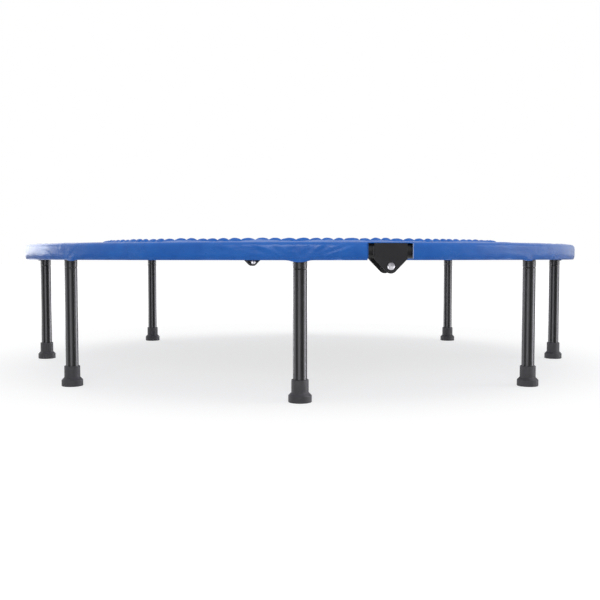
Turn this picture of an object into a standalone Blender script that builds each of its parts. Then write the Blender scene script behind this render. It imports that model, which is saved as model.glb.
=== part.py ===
"""Folding mini trampoline.

A round steel frame is made in two half rings that butt at a fold line and turn on two hinge
bolts below the tube, so that the undersides fold together. Eight legs screw into sockets under
the ring. A jumping mat hangs in the ring on springs, and a padded cover with a gathered inner
edge lies over the springs and reaches down round the tube as a skirt.

Both halves are the same set of pieces, and the second is the first turned by half a turn. A half
is drawn with the fold line along Y, its tube going round on the +X side, and heights counted
from the floor. Angles along a half start at its front end and end at its back end.
"""

import math

import bmesh
import bpy
from mathutils import Matrix

MM = 0.001
GAP = 0.3 * MM

# Driving dimensions
LEG_COUNT = 8
LEG_CIRCLE = 595.1 * MM
FOLD_LINE_TURN = math.radians(14.1)
FIRST_LEG_ANGLE = math.radians(360 / LEG_COUNT) - FOLD_LINE_TURN

# Frame ring
TUBE_RADIUS = 12.5 * MM
TUBE_WALL = 1.5 * MM
TUBE_HEIGHT = 247.5 * MM
TUBE_SIDES = 12
RING_STEPS = 31
END_GAP = 0.25 * MM

# Legs
LEG_RADIUS = 11.6 * MM
LEG_WALL = 1.5 * MM
LEG_SIDES = 12
SEAM_HEIGHT = 217.8 * MM
WASHER_RADIUS = 11.3 * MM
WASHER_THICKNESS = 1.2 * MM
SEAM_CLEARANCE = 0.25 * MM
STUD_RADIUS = 5.0 * MM
STUD_LENGTH = 15.5 * MM
STUD_HOLE_RADIUS = 5.5 * MM
LEG_PLUG = 7.0 * MM

# Rubber feet
FOOT_RADIUS = 19.4 * MM
FOOT_BASE_HEIGHT = 11.4 * MM
COLLAR_RADIUS = 14.4 * MM
COLLAR_START = 16.0 * MM
FOOT_HEIGHT = 37.4 * MM
FOOT_FLOOR = 5.0 * MM
FOOT_EDGE = 0.8 * MM

# Hinges
PIN_HEIGHT = 222.3 * MM
PLATE_HALF_WIDTH = 28.7 * MM
PLATE_TOP = 259.7 * MM
PLATE_END_RADIUS = 12.0 * MM
INNER_PLATE_TOP = 254.3 * MM
INNER_PLATE_CORNER = 8.2 * MM
PLATE_THICKNESS = 1.8 * MM
OUTER_PLATE_FACE = 608.0 * MM
INNER_PLATE_FACE = 580.8 * MM
BOLT_RADIUS = 4.0 * MM
BOLT_HOLE_RADIUS = 4.35 * MM
BOLT_HEAD_RADIUS = 6.5 * MM
BOLT_HEAD_HEIGHT = 3.4 * MM
NUT_FLATS = 13.0 * MM
NUT_HEX_LENGTH = 7.0 * MM
NUT_LENGTH = 12.5 * MM
LUG_WIDTH = 24.0 * MM
LUG_CHEEK = 3.0 * MM
LUG_END_RADIUS = 9.8 * MM
LUG_REACH = 26.0 * MM
LUG_TOP = 17.0 * MM
LUG_WEB_UNDERSIDE = 9.5 * MM
LUG_START = 1.0 * MM
BUSH_RADIUS = 7.0 * MM

# Mat and springs
MAT_RADIUS = 445.0 * MM
MAT_THICKNESS = 1.4 * MM
HEM_OUTER_RADIUS = 470.0 * MM
HEM_THICKNESS = 2.6 * MM
SPRINGS_PER_HALF = 18
SPRING_RADIUS = 7.5 * MM
WIRE_RADIUS = 1.4 * MM
SPRING_SIDES = 6
V_RING_APEX = 485.0 * MM
V_RING_HALF_WIDTH = 9.0 * MM
SPRING_START = 490.0 * MM
SPRING_END = 566.0 * MM
HOOK_END = 581.2 * MM

# Cover
COVER_RADIUS = 610.0 * MM
COVER_THICKNESS = 1.6 * MM
SKIRT_BOTTOM = 232.1 * MM
SKIRT_DIP = 3.3 * MM
SKIRT_DIP_HALF_WIDTH = 12.0 * MM
SKIRT_DIP_RUNOUT = 19.0 * MM
NOTCH_HALF_WIDTH = 39.5 * MM
NOTCH_EDGE = 0.7 * MM
NOTCH_CEILING = 260.2 * MM
NOTCH_STRIP_RADIUS = 607.7 * MM
COVER_TOP = 262.9 * MM
GATHERS_PER_HALF = 62
GATHER_SAMPLES = 3
GATHER_INNER_RADIUS = 439.0 * MM
GATHER_DEPTH = 3.0 * MM
GATHER_CREST = 272.6 * MM
GATHER_RISE = 3.2 * MM
GATHER_FOOT_RADIUS = 467.0 * MM
GATHER_FOOT_HEIGHT = 267.2 * MM


def clear_scene():
    for item in list(bpy.data.objects):
        bpy.data.objects.remove(item, do_unlink=True)


def finish(name, colour, roughness, metallic=0.0):
    """A Principled material of one colour."""
    material = bpy.data.materials.new(name + "_finish")
    material.use_nodes = True
    shader = material.node_tree.nodes["Principled BSDF"]
    shader.inputs["Base Color"].default_value = (*colour, 1.0)
    shader.inputs["Roughness"].default_value = roughness
    shader.inputs["Metallic"].default_value = metallic
    return material


# The looks of each kind of piece: linear colour, roughness and metallic
POWDER_COAT = ((0.030, 0.030, 0.032), 0.38, 0.25)
HINGE_STEEL = ((0.038, 0.038, 0.040), 0.45, 0.30)
ZINC = ((0.62, 0.62, 0.64), 0.30, 1.0)
CHROME = ((0.80, 0.80, 0.82), 0.12, 1.0)
RUBBER = ((0.035, 0.035, 0.036), 0.75, 0.0)
SEAM_RUBBER = ((0.012, 0.012, 0.012), 0.80, 0.0)
NYLON = ((0.55, 0.55, 0.52), 0.50, 0.0)
MAT_CLOTH = ((0.010, 0.010, 0.011), 0.70, 0.0)
COVER_BLUE = ((0.030, 0.125, 0.440), 0.45, 0.0)


def make_empty(name, location, turn=0.0, parent=None):
    """A bare axis that pieces hang on."""
    empty = bpy.data.objects.new(name, None)
    empty.empty_display_size = 0.05
    empty.location = location
    empty.rotation_euler = (0.0, 0.0, turn)
    empty.parent = parent
    bpy.context.scene.collection.objects.link(empty)
    return empty


def make_object(name, mesh_data, looks, carrier, location=(0.0, 0.0, 0.0), turn=0.0):
    """Link a mesh as a piece of its own, under the empty that carries it."""
    piece = bpy.data.objects.new(name, mesh_data)
    if looks:
        piece.data.materials.clear()
        piece.data.materials.append(finish(name, *looks))
    piece.parent = carrier
    piece.location = location
    piece.rotation_euler = (0.0, 0.0, turn)
    bpy.context.scene.collection.objects.link(piece)
    return piece


def mesh_from(bm, name):
    """Close a bmesh into mesh data, facing out, with its hard edges kept sharp."""
    bmesh.ops.recalc_face_normals(bm, faces=bm.faces[:])
    mesh_data = bpy.data.meshes.new(name)
    bm.to_mesh(mesh_data)
    bm.free()
    mesh_data.shade_smooth()
    mesh_data.set_sharp_from_angle(angle=math.radians(35))
    return mesh_data


def lathe(points, sides, closed=False):
    """Turn a profile of (radius, height) points about Z."""
    bm = bmesh.new()
    profile = [bm.verts.new((radius, 0.0, height)) for radius, height in points]
    ends = profile[1:] + profile[:1] if closed else profile[1:]
    edges = [bm.edges.new(pair) for pair in zip(profile, ends)]
    bmesh.ops.spin(
        bm,
        geom=profile + edges,
        cent=(0.0, 0.0, 0.0),
        axis=(0.0, 0.0, 1.0),
        angle=2 * math.pi,
        steps=sides,
        use_merge=True,
    )
    bmesh.ops.remove_doubles(bm, verts=bm.verts[:], dist=0.001 * MM)
    return bm


def turn_axis_outwards(bm):
    """Lay a piece drawn along Z down along the fold line, its top pointing to the front."""
    bmesh.ops.rotate(bm, verts=bm.verts[:], matrix=Matrix.Rotation(math.radians(90), 3, "X"))


def round_the_ring(radius, angle, height):
    """The point at an angle along a half, counted from the front end of the fold line."""
    return (radius * math.sin(angle), -radius * math.cos(angle), height)


def ring_stations(count=RING_STEPS):
    """Evenly spaced angles from one end of a half to the other."""
    return [math.pi * k / count for k in range(count + 1)]


def close_to_fold_line(bm, gap):
    """Move the two cut ends of a half back from the fold line by a gap."""
    for vert in bm.verts:
        vert.co.x = max(vert.co.x, gap)


def sweep_round(sections, stations):
    """Sweep closed loops of (radius, height) points round a half, joined loop to loop at its
    ends: one loop makes a bar, and an outer and an inner loop make a tube."""
    bm = bmesh.new()
    grids = []
    for loop in sections:
        grid = [[bm.verts.new(round_the_ring(r, a, z)) for r, z in loop] for a in stations]
        for here, there in zip(grid, grid[1:]):
            for k in range(len(loop)):
                after = (k + 1) % len(loop)
                bm.faces.new((here[k], here[after], there[after], there[k]))
        grids.append(grid)
    for end in (0, -1):
        if len(grids) == 1:
            bm.faces.new(grids[0][end])
            continue
        outer, inner = grids[0][end], grids[1][end]
        for k in range(len(outer)):
            after = (k + 1) % len(outer)
            bm.faces.new((outer[k], outer[after], inner[after], inner[k]))
    return bm


def tube_section(radius):
    """The frame tube's round section as (radius from the centre line, height) points."""
    turns = [2 * math.pi * k / TUBE_SIDES for k in range(TUBE_SIDES)]
    return [
        (LEG_CIRCLE + radius * math.cos(turn), TUBE_HEIGHT + radius * math.sin(turn))
        for turn in turns
    ]


def frame_tube_mesh():
    bm = sweep_round([tube_section(TUBE_RADIUS), tube_section(TUBE_RADIUS - TUBE_WALL)],
                     ring_stations())
    close_to_fold_line(bm, END_GAP)
    return mesh_from(bm, "frame_tube")


def tube_clearance_mesh():
    """The room that the tube takes, with a gap round it, for the pieces welded on it."""
    return mesh_from(sweep_round([tube_section(TUBE_RADIUS + GAP)], ring_stations()), "clearance")


def socket_mesh():
    """The welded stub that a leg screws into, before its top is cut to fit the tube."""
    bottom = SEAM_HEIGHT + WASHER_THICKNESS / 2 + SEAM_CLEARANCE
    hole_top = bottom + STUD_LENGTH - GAP
    points = [
        (0.0, TUBE_HEIGHT),
        (LEG_RADIUS, TUBE_HEIGHT),
        (LEG_RADIUS, bottom),
        (STUD_HOLE_RADIUS, bottom),
        (STUD_HOLE_RADIUS, hole_top),
        (0.0, hole_top),
    ]
    return mesh_from(lathe(points, LEG_SIDES), "leg_socket")


def washer_mesh():
    low = SEAM_HEIGHT - WASHER_THICKNESS / 2
    high = SEAM_HEIGHT + WASHER_THICKNESS / 2
    points = [
        (STUD_HOLE_RADIUS, low),
        (WASHER_RADIUS, low),
        (WASHER_RADIUS, high),
        (STUD_HOLE_RADIUS, high),
    ]
    return mesh_from(lathe(points, LEG_SIDES, closed=True), "leg_washer")


def leg_mesh():
    """A tube with a welded plug and threaded stud at its top, open at its foot."""
    top = SEAM_HEIGHT - WASHER_THICKNESS / 2 - SEAM_CLEARANCE
    bottom = FOOT_FLOOR + GAP
    chamfer = 0.6 * MM
    points = [
        (0.0, top + STUD_LENGTH),
        (STUD_RADIUS - chamfer, top + STUD_LENGTH),
        (STUD_RADIUS, top + STUD_LENGTH - chamfer),
        (STUD_RADIUS, top),
        (LEG_RADIUS - chamfer, top),
        (LEG_RADIUS, top - chamfer),
        (LEG_RADIUS, bottom),
        (LEG_RADIUS - LEG_WALL, bottom),
        (LEG_RADIUS - LEG_WALL, top - LEG_PLUG),
        (0.0, top - LEG_PLUG),
    ]
    return mesh_from(lathe(points, LEG_SIDES), "leg_tube")


def foot_mesh():
    """A rubber foot: a wide base, a sloping shoulder and a collar that grips the leg."""
    bore = LEG_RADIUS + GAP
    points = [
        (0.0, 0.0),
        (FOOT_RADIUS - FOOT_EDGE, 0.0),
        (FOOT_RADIUS, FOOT_EDGE),
        (FOOT_RADIUS, FOOT_BASE_HEIGHT),
        (COLLAR_RADIUS, COLLAR_START),
        (COLLAR_RADIUS, FOOT_HEIGHT - FOOT_EDGE),
        (COLLAR_RADIUS - FOOT_EDGE, FOOT_HEIGHT),
        (bore, FOOT_HEIGHT),
        (bore, FOOT_FLOOR),
        (0.0, FOOT_FLOOR),
    ]
    return mesh_from(lathe(points, LEG_SIDES), "leg_foot")


def extrude_outline(outline, near, far):
    """A flat outline of (across, height) points, drawn square to the fold line and extruded
    along it, between two distances from the ring's centre towards the front."""
    bm = bmesh.new()
    face = bm.faces.new([bm.verts.new((across, -near, height)) for across, height in outline])
    grown = bmesh.ops.extrude_face_region(bm, geom=[face])
    moved = [item for item in grown["geom"] if isinstance(item, bmesh.types.BMVert)]
    bmesh.ops.translate(bm, verts=moved, vec=(0.0, near - far, 0.0))
    return bm


def pin_arc(radius, start_deg, stop_deg, steps):
    """Points of an arc about the pin."""
    angles = [math.radians(start_deg + (stop_deg - start_deg) * k / steps)
              for k in range(steps + 1)]
    return [(radius * math.cos(a), PIN_HEIGHT + radius * math.sin(a)) for a in angles]


def plate_mesh(near, far, top, corner):
    """A hinge side plate with 45 degree sides that run tangent into a round end about the pin.
    A corner cut off its top lets it swing below the foam of the half that folds away."""
    knee = PIN_HEIGHT + PLATE_HALF_WIDTH - PLATE_END_RADIUS * math.sqrt(2)
    right = [(PLATE_HALF_WIDTH, knee), (PLATE_HALF_WIDTH, top - corner)]
    if corner:
        right.append((PLATE_HALF_WIDTH - corner, top))
    left = [(-across, height) for across, height in reversed(right)]
    outline = left + pin_arc(PLATE_END_RADIUS, -135, -45, 6) + right
    return mesh_from(extrude_outline(outline, near, far), "hinge_plate")


def lug_mesh():
    """The outline of the lug, a solid block before its slot, saddle and bolt hole are cut."""
    outline = pin_arc(LUG_END_RADIUS, -45, -270, 10)
    slope_end = PIN_HEIGHT + LUG_REACH - LUG_END_RADIUS * math.sqrt(2)
    outline += [
        (LUG_START, PIN_HEIGHT + LUG_END_RADIUS + LUG_START),
        (LUG_START, PIN_HEIGHT + LUG_TOP),
        (LUG_REACH, PIN_HEIGHT + LUG_TOP),
        (LUG_REACH, slope_end),
    ]
    middle = (OUTER_PLATE_FACE + INNER_PLATE_FACE) / 2
    return mesh_from(
        extrude_outline(outline, middle - LUG_WIDTH / 2, middle + LUG_WIDTH / 2), "hinge_lug"
    )


def lug_slot_mesh():
    """The room between the lug's cheeks, below its web."""
    middle = (OUTER_PLATE_FACE + INNER_PLATE_FACE) / 2
    half = LUG_WIDTH / 2 - LUG_CHEEK
    side = 2 * LUG_REACH
    outline = [
        (-side, PIN_HEIGHT - side),
        (side, PIN_HEIGHT - side),
        (side, PIN_HEIGHT + LUG_WEB_UNDERSIDE),
        (-side, PIN_HEIGHT + LUG_WEB_UNDERSIDE),
    ]
    return mesh_from(extrude_outline(outline, middle - half, middle + half), "lug_slot")


def along_bolt(points, sides, closed=False):
    """Turn a profile of (radius, distance towards the front) points about the bolt's axis."""
    bm = lathe(points, sides, closed)
    turn_axis_outwards(bm)
    bmesh.ops.translate(bm, verts=bm.verts[:], vec=(0.0, 0.0, PIN_HEIGHT))
    return bm


def bolt_hole_mesh():
    near = INNER_PLATE_FACE - 2 * PLATE_THICKNESS
    far = OUTER_PLATE_FACE + 2 * PLATE_THICKNESS
    points = [(0.0, near), (BOLT_HOLE_RADIUS, near), (BOLT_HOLE_RADIUS, far), (0.0, far)]
    return mesh_from(along_bolt(points, 16), "bolt_hole")


def bolt_mesh():
    """A bolt with a domed head against the outer plate."""
    seat = OUTER_PLATE_FACE + PLATE_THICKNESS + GAP
    end = INNER_PLATE_FACE - PLATE_THICKNESS - NUT_HEX_LENGTH - GAP
    points = [(0.0, end), (BOLT_RADIUS, end), (BOLT_RADIUS, seat), (BOLT_HEAD_RADIUS, seat)]
    for turn in (20, 50):
        rise = math.radians(turn)
        points.append(
            (BOLT_HEAD_RADIUS * math.cos(rise), seat + BOLT_HEAD_HEIGHT * math.sin(rise))
        )
    points.append((0.0, seat + BOLT_HEAD_HEIGHT))
    return mesh_from(along_bolt(points, 12), "hinge_bolt")


def nut_mesh():
    """A domed nut: a hexagon with a blind hole, and a dome over the bolt's end."""
    seat = INNER_PLATE_FACE - PLATE_THICKNESS - GAP
    corner = NUT_FLATS / math.sqrt(3)
    points = [
        (0.0, seat - NUT_HEX_LENGTH - 2 * GAP),
        (BOLT_HOLE_RADIUS, seat - NUT_HEX_LENGTH - 2 * GAP),
        (BOLT_HOLE_RADIUS, seat),
        (corner, seat),
        (corner, seat - NUT_HEX_LENGTH),
        (0.78 * corner, seat - 0.82 * NUT_LENGTH),
        (0.0, seat - NUT_LENGTH),
    ]
    bm = lathe(points, 12)
    for vert in bm.verts:
        at_middle_of_a_flat = round(math.degrees(math.atan2(vert.co.y, vert.co.x)) / 30) % 2
        on_hexagon = math.hypot(vert.co.x, vert.co.y) > 0.9 * corner
        if at_middle_of_a_flat and on_hexagon:
            vert.co.xy *= NUT_FLATS / (2 * corner)
    turn_axis_outwards(bm)
    bmesh.ops.translate(bm, verts=bm.verts[:], vec=(0.0, 0.0, PIN_HEIGHT))
    return mesh_from(bm, "hinge_nut")


def bush_mesh():
    """The spacer on the bolt between the lug's cheeks."""
    middle = (OUTER_PLATE_FACE + INNER_PLATE_FACE) / 2
    half = LUG_WIDTH / 2 - LUG_CHEEK - GAP
    points = [
        (BOLT_HOLE_RADIUS, middle - half),
        (BUSH_RADIUS, middle - half),
        (BUSH_RADIUS, middle + half),
        (BOLT_HOLE_RADIUS, middle + half),
    ]
    return mesh_from(along_bolt(points, 12, closed=True), "hinge_bush")


def mat_mesh():
    """Half of the jumping mat, a flat half disc inside its hem."""
    bm = bmesh.new()
    low = TUBE_HEIGHT - MAT_THICKNESS / 2
    rim = [bm.verts.new(round_the_ring(MAT_RADIUS, a, low)) for a in ring_stations()]
    grown = bmesh.ops.extrude_face_region(bm, geom=[bm.faces.new(rim)])
    moved = [item for item in grown["geom"] if isinstance(item, bmesh.types.BMVert)]
    bmesh.ops.translate(bm, verts=moved, vec=(0.0, 0.0, MAT_THICKNESS))
    close_to_fold_line(bm, END_GAP)
    return mesh_from(bm, "mat")


def hem_mesh():
    """Half of the webbing hem round the mat."""
    low = TUBE_HEIGHT - HEM_THICKNESS / 2
    high = TUBE_HEIGHT + HEM_THICKNESS / 2
    inner = MAT_RADIUS + GAP
    bm = sweep_round(
        [[(inner, low), (HEM_OUTER_RADIUS, low), (HEM_OUTER_RADIUS, high), (inner, high)]],
        ring_stations(),
    )
    close_to_fold_line(bm, END_GAP)
    return mesh_from(bm, "hem")


def add_bar(bm, start, stop, width):
    """A square bar between two points at the mat's height, added to a bmesh."""
    length = math.dist(start, stop)
    turn = math.atan2(stop[1] - start[1], stop[0] - start[0])
    middle = [(a + b) / 2 for a, b in zip(start, stop)]
    place = (
        Matrix.Translation((*middle, TUBE_HEIGHT))
        @ Matrix.Rotation(turn, 4, "Z")
        @ Matrix.Diagonal((length, width, width, 1.0))
    )
    bmesh.ops.create_cube(bm, size=1.0, matrix=place)


def spring_set_mesh():
    """The springs of a half, each in a plain solid of its outer shape, with its end hook on the
    tube's side and the triangular ring that joins it to the hem on the mat's side."""
    bm = bmesh.new()
    profile = [
        (0.0, V_RING_APEX - WIRE_RADIUS),
        (WIRE_RADIUS, V_RING_APEX - WIRE_RADIUS),
        (SPRING_RADIUS, SPRING_START),
        (SPRING_RADIUS, SPRING_END),
        (WIRE_RADIUS, SPRING_END + 2 * WIRE_RADIUS),
        (WIRE_RADIUS, HOOK_END),
        (0.0, HOOK_END),
    ]
    for k in range(SPRINGS_PER_HALF):
        angle = math.pi * (k + 0.5) / SPRINGS_PER_HALF
        spring = lathe(profile, SPRING_SIDES)
        turn_axis_outwards(spring)
        place = Matrix.Translation((0.0, 0.0, TUBE_HEIGHT)) @ Matrix.Rotation(angle, 4, "Z")
        bmesh.ops.transform(spring, matrix=place, verts=spring.verts[:])
        one_spring = bpy.data.meshes.new("one_spring")
        spring.to_mesh(one_spring)
        spring.free()
        bm.from_mesh(one_spring)
        bpy.data.meshes.remove(one_spring)
        apex = round_the_ring(V_RING_APEX + WIRE_RADIUS, angle, 0.0)[:2]
        root = HEM_OUTER_RADIUS - HEM_THICKNESS
        for side in (-1, 1):
            spread = side * V_RING_HALF_WIDTH / root
            add_bar(bm, round_the_ring(root, angle + spread, 0.0)[:2], apex, 1.8 * WIRE_RADIUS)
    return mesh_from(bm, "spring_set")


def leg_angles():
    """Where the legs of a half stand, as angles along it."""
    step = 2 * math.pi / LEG_COUNT
    return [FIRST_LEG_ANGLE + k * step for k in range(LEG_COUNT // 2)]


def skirt_bottom_at(angle):
    """The height of the hem, which dips at each leg."""
    nearest = min(abs(angle - leg) * COVER_RADIUS for leg in leg_angles())
    span = SKIRT_DIP_RUNOUT - SKIRT_DIP_HALF_WIDTH
    depth = min(max((SKIRT_DIP_RUNOUT - nearest) / span, 0.0), 1.0)
    return SKIRT_BOTTOM - SKIRT_DIP * depth


def skirt_stations():
    """The ring's stations with those that the hem's dips and the hinge notches need."""
    notch = math.asin(NOTCH_HALF_WIDTH / COVER_RADIUS)
    edge = NOTCH_EDGE / COVER_RADIUS
    extra = [notch, notch + edge, math.pi - notch - edge, math.pi - notch]
    for leg in leg_angles():
        for reach in (SKIRT_DIP_HALF_WIDTH, SKIRT_DIP_RUNOUT):
            extra += [leg - reach / COVER_RADIUS, leg + reach / COVER_RADIUS]
    return sorted(ring_stations() + extra)


def gather_rise(angle):
    """How far a gather stands up at an angle, from 0 in a crease to 1 on its back. The creases
    are a little uneven, as in sewn elastic."""
    along = angle / math.pi
    uneven = 0.16 * math.sin(14 * math.pi * along) + 0.12 * math.sin(34 * math.pi * along)
    phase = (GATHERS_PER_HALF * along + uneven) % 1.0
    return abs(math.sin(math.pi * phase))


def cover_rings():
    """The cover's section as rings of (angle, radius, height) points, going round the section
    from the top, over the gathered inner edge, back under the foam and down the skirt."""
    plain = ring_stations()
    fine = ring_stations(GATHERS_PER_HALF * GATHER_SAMPLES)
    skirt = skirt_stations()
    notch = math.asin(NOTCH_HALF_WIDTH / COVER_RADIUS) + 0.5 * NOTCH_EDGE / COVER_RADIUS

    def level(stations, radius, height):
        return [(a, radius, height) for a in stations]

    def gathered(out, radius, crest, rise):
        return [
            (a, radius - out * gather_rise(a), crest - rise * (1 - gather_rise(a))) for a in fine
        ]

    def notched(inside, outside):
        in_notch = [a < notch or a > math.pi - notch for a in skirt]
        return [(a, *(inside(a) if cut else outside(a))) for a, cut in zip(skirt, in_notch)]

    lining = COVER_RADIUS - COVER_THICKNESS
    return [
        level(plain, LEG_CIRCLE + 7 * MM, COVER_TOP),
        level(plain, 530 * MM, 265.6 * MM),
        level(plain, GATHER_FOOT_RADIUS, GATHER_FOOT_HEIGHT),
        gathered(GATHER_DEPTH, GATHER_INNER_RADIUS + 12 * MM, GATHER_CREST, GATHER_RISE),
        gathered(GATHER_DEPTH, GATHER_INNER_RADIUS + GATHER_DEPTH, 264 * MM, 1.5 * MM),
        gathered(GATHER_DEPTH, GATHER_INNER_RADIUS + 9 * MM, 252 * MM, 1.2 * MM),
        level(plain, 482 * MM, 257.2 * MM),
        level(plain, LEG_CIRCLE - 5.1 * MM, 261.3 * MM),
        level(plain, LEG_CIRCLE + 8.9 * MM, 259.4 * MM),
        notched(
            lambda a: (NOTCH_STRIP_RADIUS - 2.4 * MM, NOTCH_CEILING),
            lambda a: (lining, 250.5 * MM),
        ),
        notched(
            lambda a: (NOTCH_STRIP_RADIUS - 0.1 * MM, NOTCH_CEILING),
            lambda a: (lining, skirt_bottom_at(a)),
        ),
        notched(
            lambda a: (NOTCH_STRIP_RADIUS, NOTCH_CEILING + 0.2 * MM),
            lambda a: (COVER_RADIUS, skirt_bottom_at(a)),
        ),
        notched(
            lambda a: (NOTCH_STRIP_RADIUS, NOTCH_CEILING + 0.8 * MM),
            lambda a: (COVER_RADIUS, 256.0 * MM),
        ),
        level(plain, COVER_RADIUS - 2.5 * MM, 261.4 * MM),
    ]


def join_rings(bm, one, other):
    """Fill the strip between two rings of (angle, vertex) pairs, whatever their stations."""
    i = j = 0
    while i < len(one) - 1 or j < len(other) - 1:
        here, there = one[i][1], other[j][1]
        on_one = j == len(other) - 1 or (i < len(one) - 1 and one[i + 1][0] <= other[j + 1][0])
        if on_one:
            bm.faces.new((here, one[i + 1][1], there))
            i += 1
        else:
            bm.faces.new((here, other[j + 1][1], there))
            j += 1


def cover_mesh():
    """Half of the padded cover with its skirt."""
    bm = bmesh.new()
    rings = [
        [(a, bm.verts.new(round_the_ring(r, a, z))) for a, r, z in ring]
        for ring in cover_rings()
    ]
    for one, other in zip(rings, rings[1:] + rings[:1]):
        join_rings(bm, one, other)
    for end in (0, -1):
        bm.faces.new([ring[end][1] for ring in rings])
    bmesh.ops.triangulate(bm, faces=[face for face in bm.faces if len(face.verts) > 3])
    close_to_fold_line(bm, END_GAP)
    return mesh_from(bm, "cover")


def hide(piece):
    """Mark a cutter or a guide, which is not a piece of the object."""
    piece.hide_render = True
    piece.display_type = "WIRE"
    return piece


def cut(piece, cutter, operation="DIFFERENCE"):
    modifier = piece.modifiers.new(cutter.name, "BOOLEAN")
    modifier.operation = operation
    modifier.solver = "EXACT"
    modifier.object = cutter
    return modifier


def soften(piece, width):
    """Take the sharpness off the edges of a pressed plate."""
    modifier = piece.modifiers.new("edges", "BEVEL")
    modifier.width = width
    modifier.segments = 1
    modifier.limit_method = "ANGLE"
    modifier.angle_limit = math.radians(40)


SHARED = {
    "tube": frame_tube_mesh,
    "clearance": tube_clearance_mesh,
    "socket": socket_mesh,
    "washer": washer_mesh,
    "leg": leg_mesh,
    "foot": foot_mesh,
    "lug": lug_mesh,
    "lug_slot": lug_slot_mesh,
    "bolt_hole": bolt_hole_mesh,
    "bolt": bolt_mesh,
    "nut": nut_mesh,
    "bush": bush_mesh,
    "mat": mat_mesh,
    "hem": hem_mesh,
    "springs": spring_set_mesh,
    "cover": cover_mesh,
}


def build_plates(meshes, end, carrier, hole):
    """The pair of side plates of one hinge, with the bolt and nut that they hold."""
    plates = {
        "outer": plate_mesh(OUTER_PLATE_FACE, OUTER_PLATE_FACE + PLATE_THICKNESS, PLATE_TOP, 0.0),
        "inner": plate_mesh(INNER_PLATE_FACE - PLATE_THICKNESS, INNER_PLATE_FACE,
                            INNER_PLATE_TOP, INNER_PLATE_CORNER),
    }
    for side, mesh_data in plates.items():
        plate = make_object(f"hinge_plate_{side}_{end}", mesh_data, HINGE_STEEL, **carrier)
        soften(plate, 0.4 * MM)
        cut(plate, hole)
    make_object(f"hinge_bolt_{end}", meshes["bolt"].copy(), CHROME, **carrier)
    make_object(f"hinge_nut_{end}", meshes["nut"].copy(), CHROME, **carrier)


def build_lug(meshes, end, carrier, clearance, hole):
    """The lug that swings between the plates of one hinge, and the bush inside it."""
    slot = hide(make_object(f"lug_slot_{end}", meshes["lug_slot"].copy(), None, **carrier))
    lug = make_object(f"hinge_lug_{end}", meshes["lug"].copy(), HINGE_STEEL, **carrier)
    for cutter in (clearance, slot, hole):
        cut(lug, cutter)
    make_object(f"hinge_bush_{end}", meshes["bush"].copy(), NYLON, **carrier)


def build_legs(meshes, numbers, half_axis, clearance):
    """The four legs of a half: socket, washer, leg and foot, each set on its own axis."""
    for number, angle in zip(numbers, leg_angles()):
        place = round_the_ring(LEG_CIRCLE, angle, SEAM_HEIGHT - PIN_HEIGHT)
        axis = make_empty(f"leg_axis_{number}", place, parent=half_axis)
        stand = {"carrier": axis, "location": (0.0, 0.0, -SEAM_HEIGHT), "turn": angle}
        socket = make_object(f"leg_socket_{number}", meshes["socket"].copy(), POWDER_COAT, **stand)
        cut(socket, clearance)
        make_object(f"leg_washer_{number}", meshes["washer"].copy(), SEAM_RUBBER, **stand)
        make_object(f"leg_tube_{number}", meshes["leg"].copy(), POWDER_COAT, **stand)
        make_object(f"leg_foot_{number}", meshes["foot"].copy(), RUBBER, **stand)


def build_half(meshes, half, half_axis, lug_end, plate_end, leg_numbers):
    """One half of the trampoline, on the empty that lies on the fold axis. Its lug is at the
    front end of the half as drawn, and its plates are at the other end."""
    drop = {"carrier": half_axis, "location": (0.0, 0.0, -PIN_HEIGHT)}
    other_end = {**drop, "turn": math.pi}
    clearance = hide(make_object(f"clearance_{half}", meshes["clearance"].copy(), None, **drop))
    hole_mesh = meshes["bolt_hole"]
    lug_hole = hide(make_object(f"bolt_hole_lug_{half}", hole_mesh.copy(), None, **drop))
    plate_hole = hide(make_object(f"bolt_hole_plate_{half}", hole_mesh.copy(), None, **other_end))
    make_object(f"frame_tube_{half}", meshes["tube"].copy(), POWDER_COAT, **drop)
    make_object(f"mat_{half}", meshes["mat"].copy(), MAT_CLOTH, **drop)
    make_object(f"cover_{half}", meshes["cover"].copy(), COVER_BLUE, **drop)
    springs = hide(make_object(f"spring_set_{half}", meshes["springs"].copy(), None, **drop))
    band = make_object(f"spring_band_{half}", meshes["hem"].copy(), ZINC, **drop)
    cut(band, springs, "UNION").use_self = True
    build_lug(meshes, lug_end, drop, clearance, lug_hole)
    build_plates(meshes, plate_end, other_end, plate_hole)
    build_legs(meshes, leg_numbers, half_axis, clearance)


def build():
    clear_scene()
    meshes = {name: make() for name, make in SHARED.items()}
    fold_line = make_empty("fold_line", (0.0, 0.0, PIN_HEIGHT), FOLD_LINE_TURN)
    right_axis = make_empty("right_half_axis", (0.0, 0.0, 0.0), 0.0, fold_line)
    left_axis = make_empty("left_half_axis", (0.0, 0.0, 0.0), math.pi, fold_line)
    build_half(meshes, "right", right_axis, "front", "back", (2, 3, 4, 5))
    build_half(meshes, "left", left_axis, "back", "front", (6, 7, 8, 1))
    for mesh_data in meshes.values():
        bpy.data.meshes.remove(mesh_data)


build()
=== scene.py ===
# %% [markdown]
# The object is a folding mini trampoline. A black steel ring stands on eight screwed legs with
# rubber feet, a woven mat hangs in it on springs, and a blue padded cover lies over the springs
# and reaches down round the ring as a skirt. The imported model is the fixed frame: every piece
# made here sits exactly where its solid sits, and moves with the same body.

import math
import random

import bmesh
import bpy
import numpy as np
from mathutils import Matrix, Vector, noise


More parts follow.
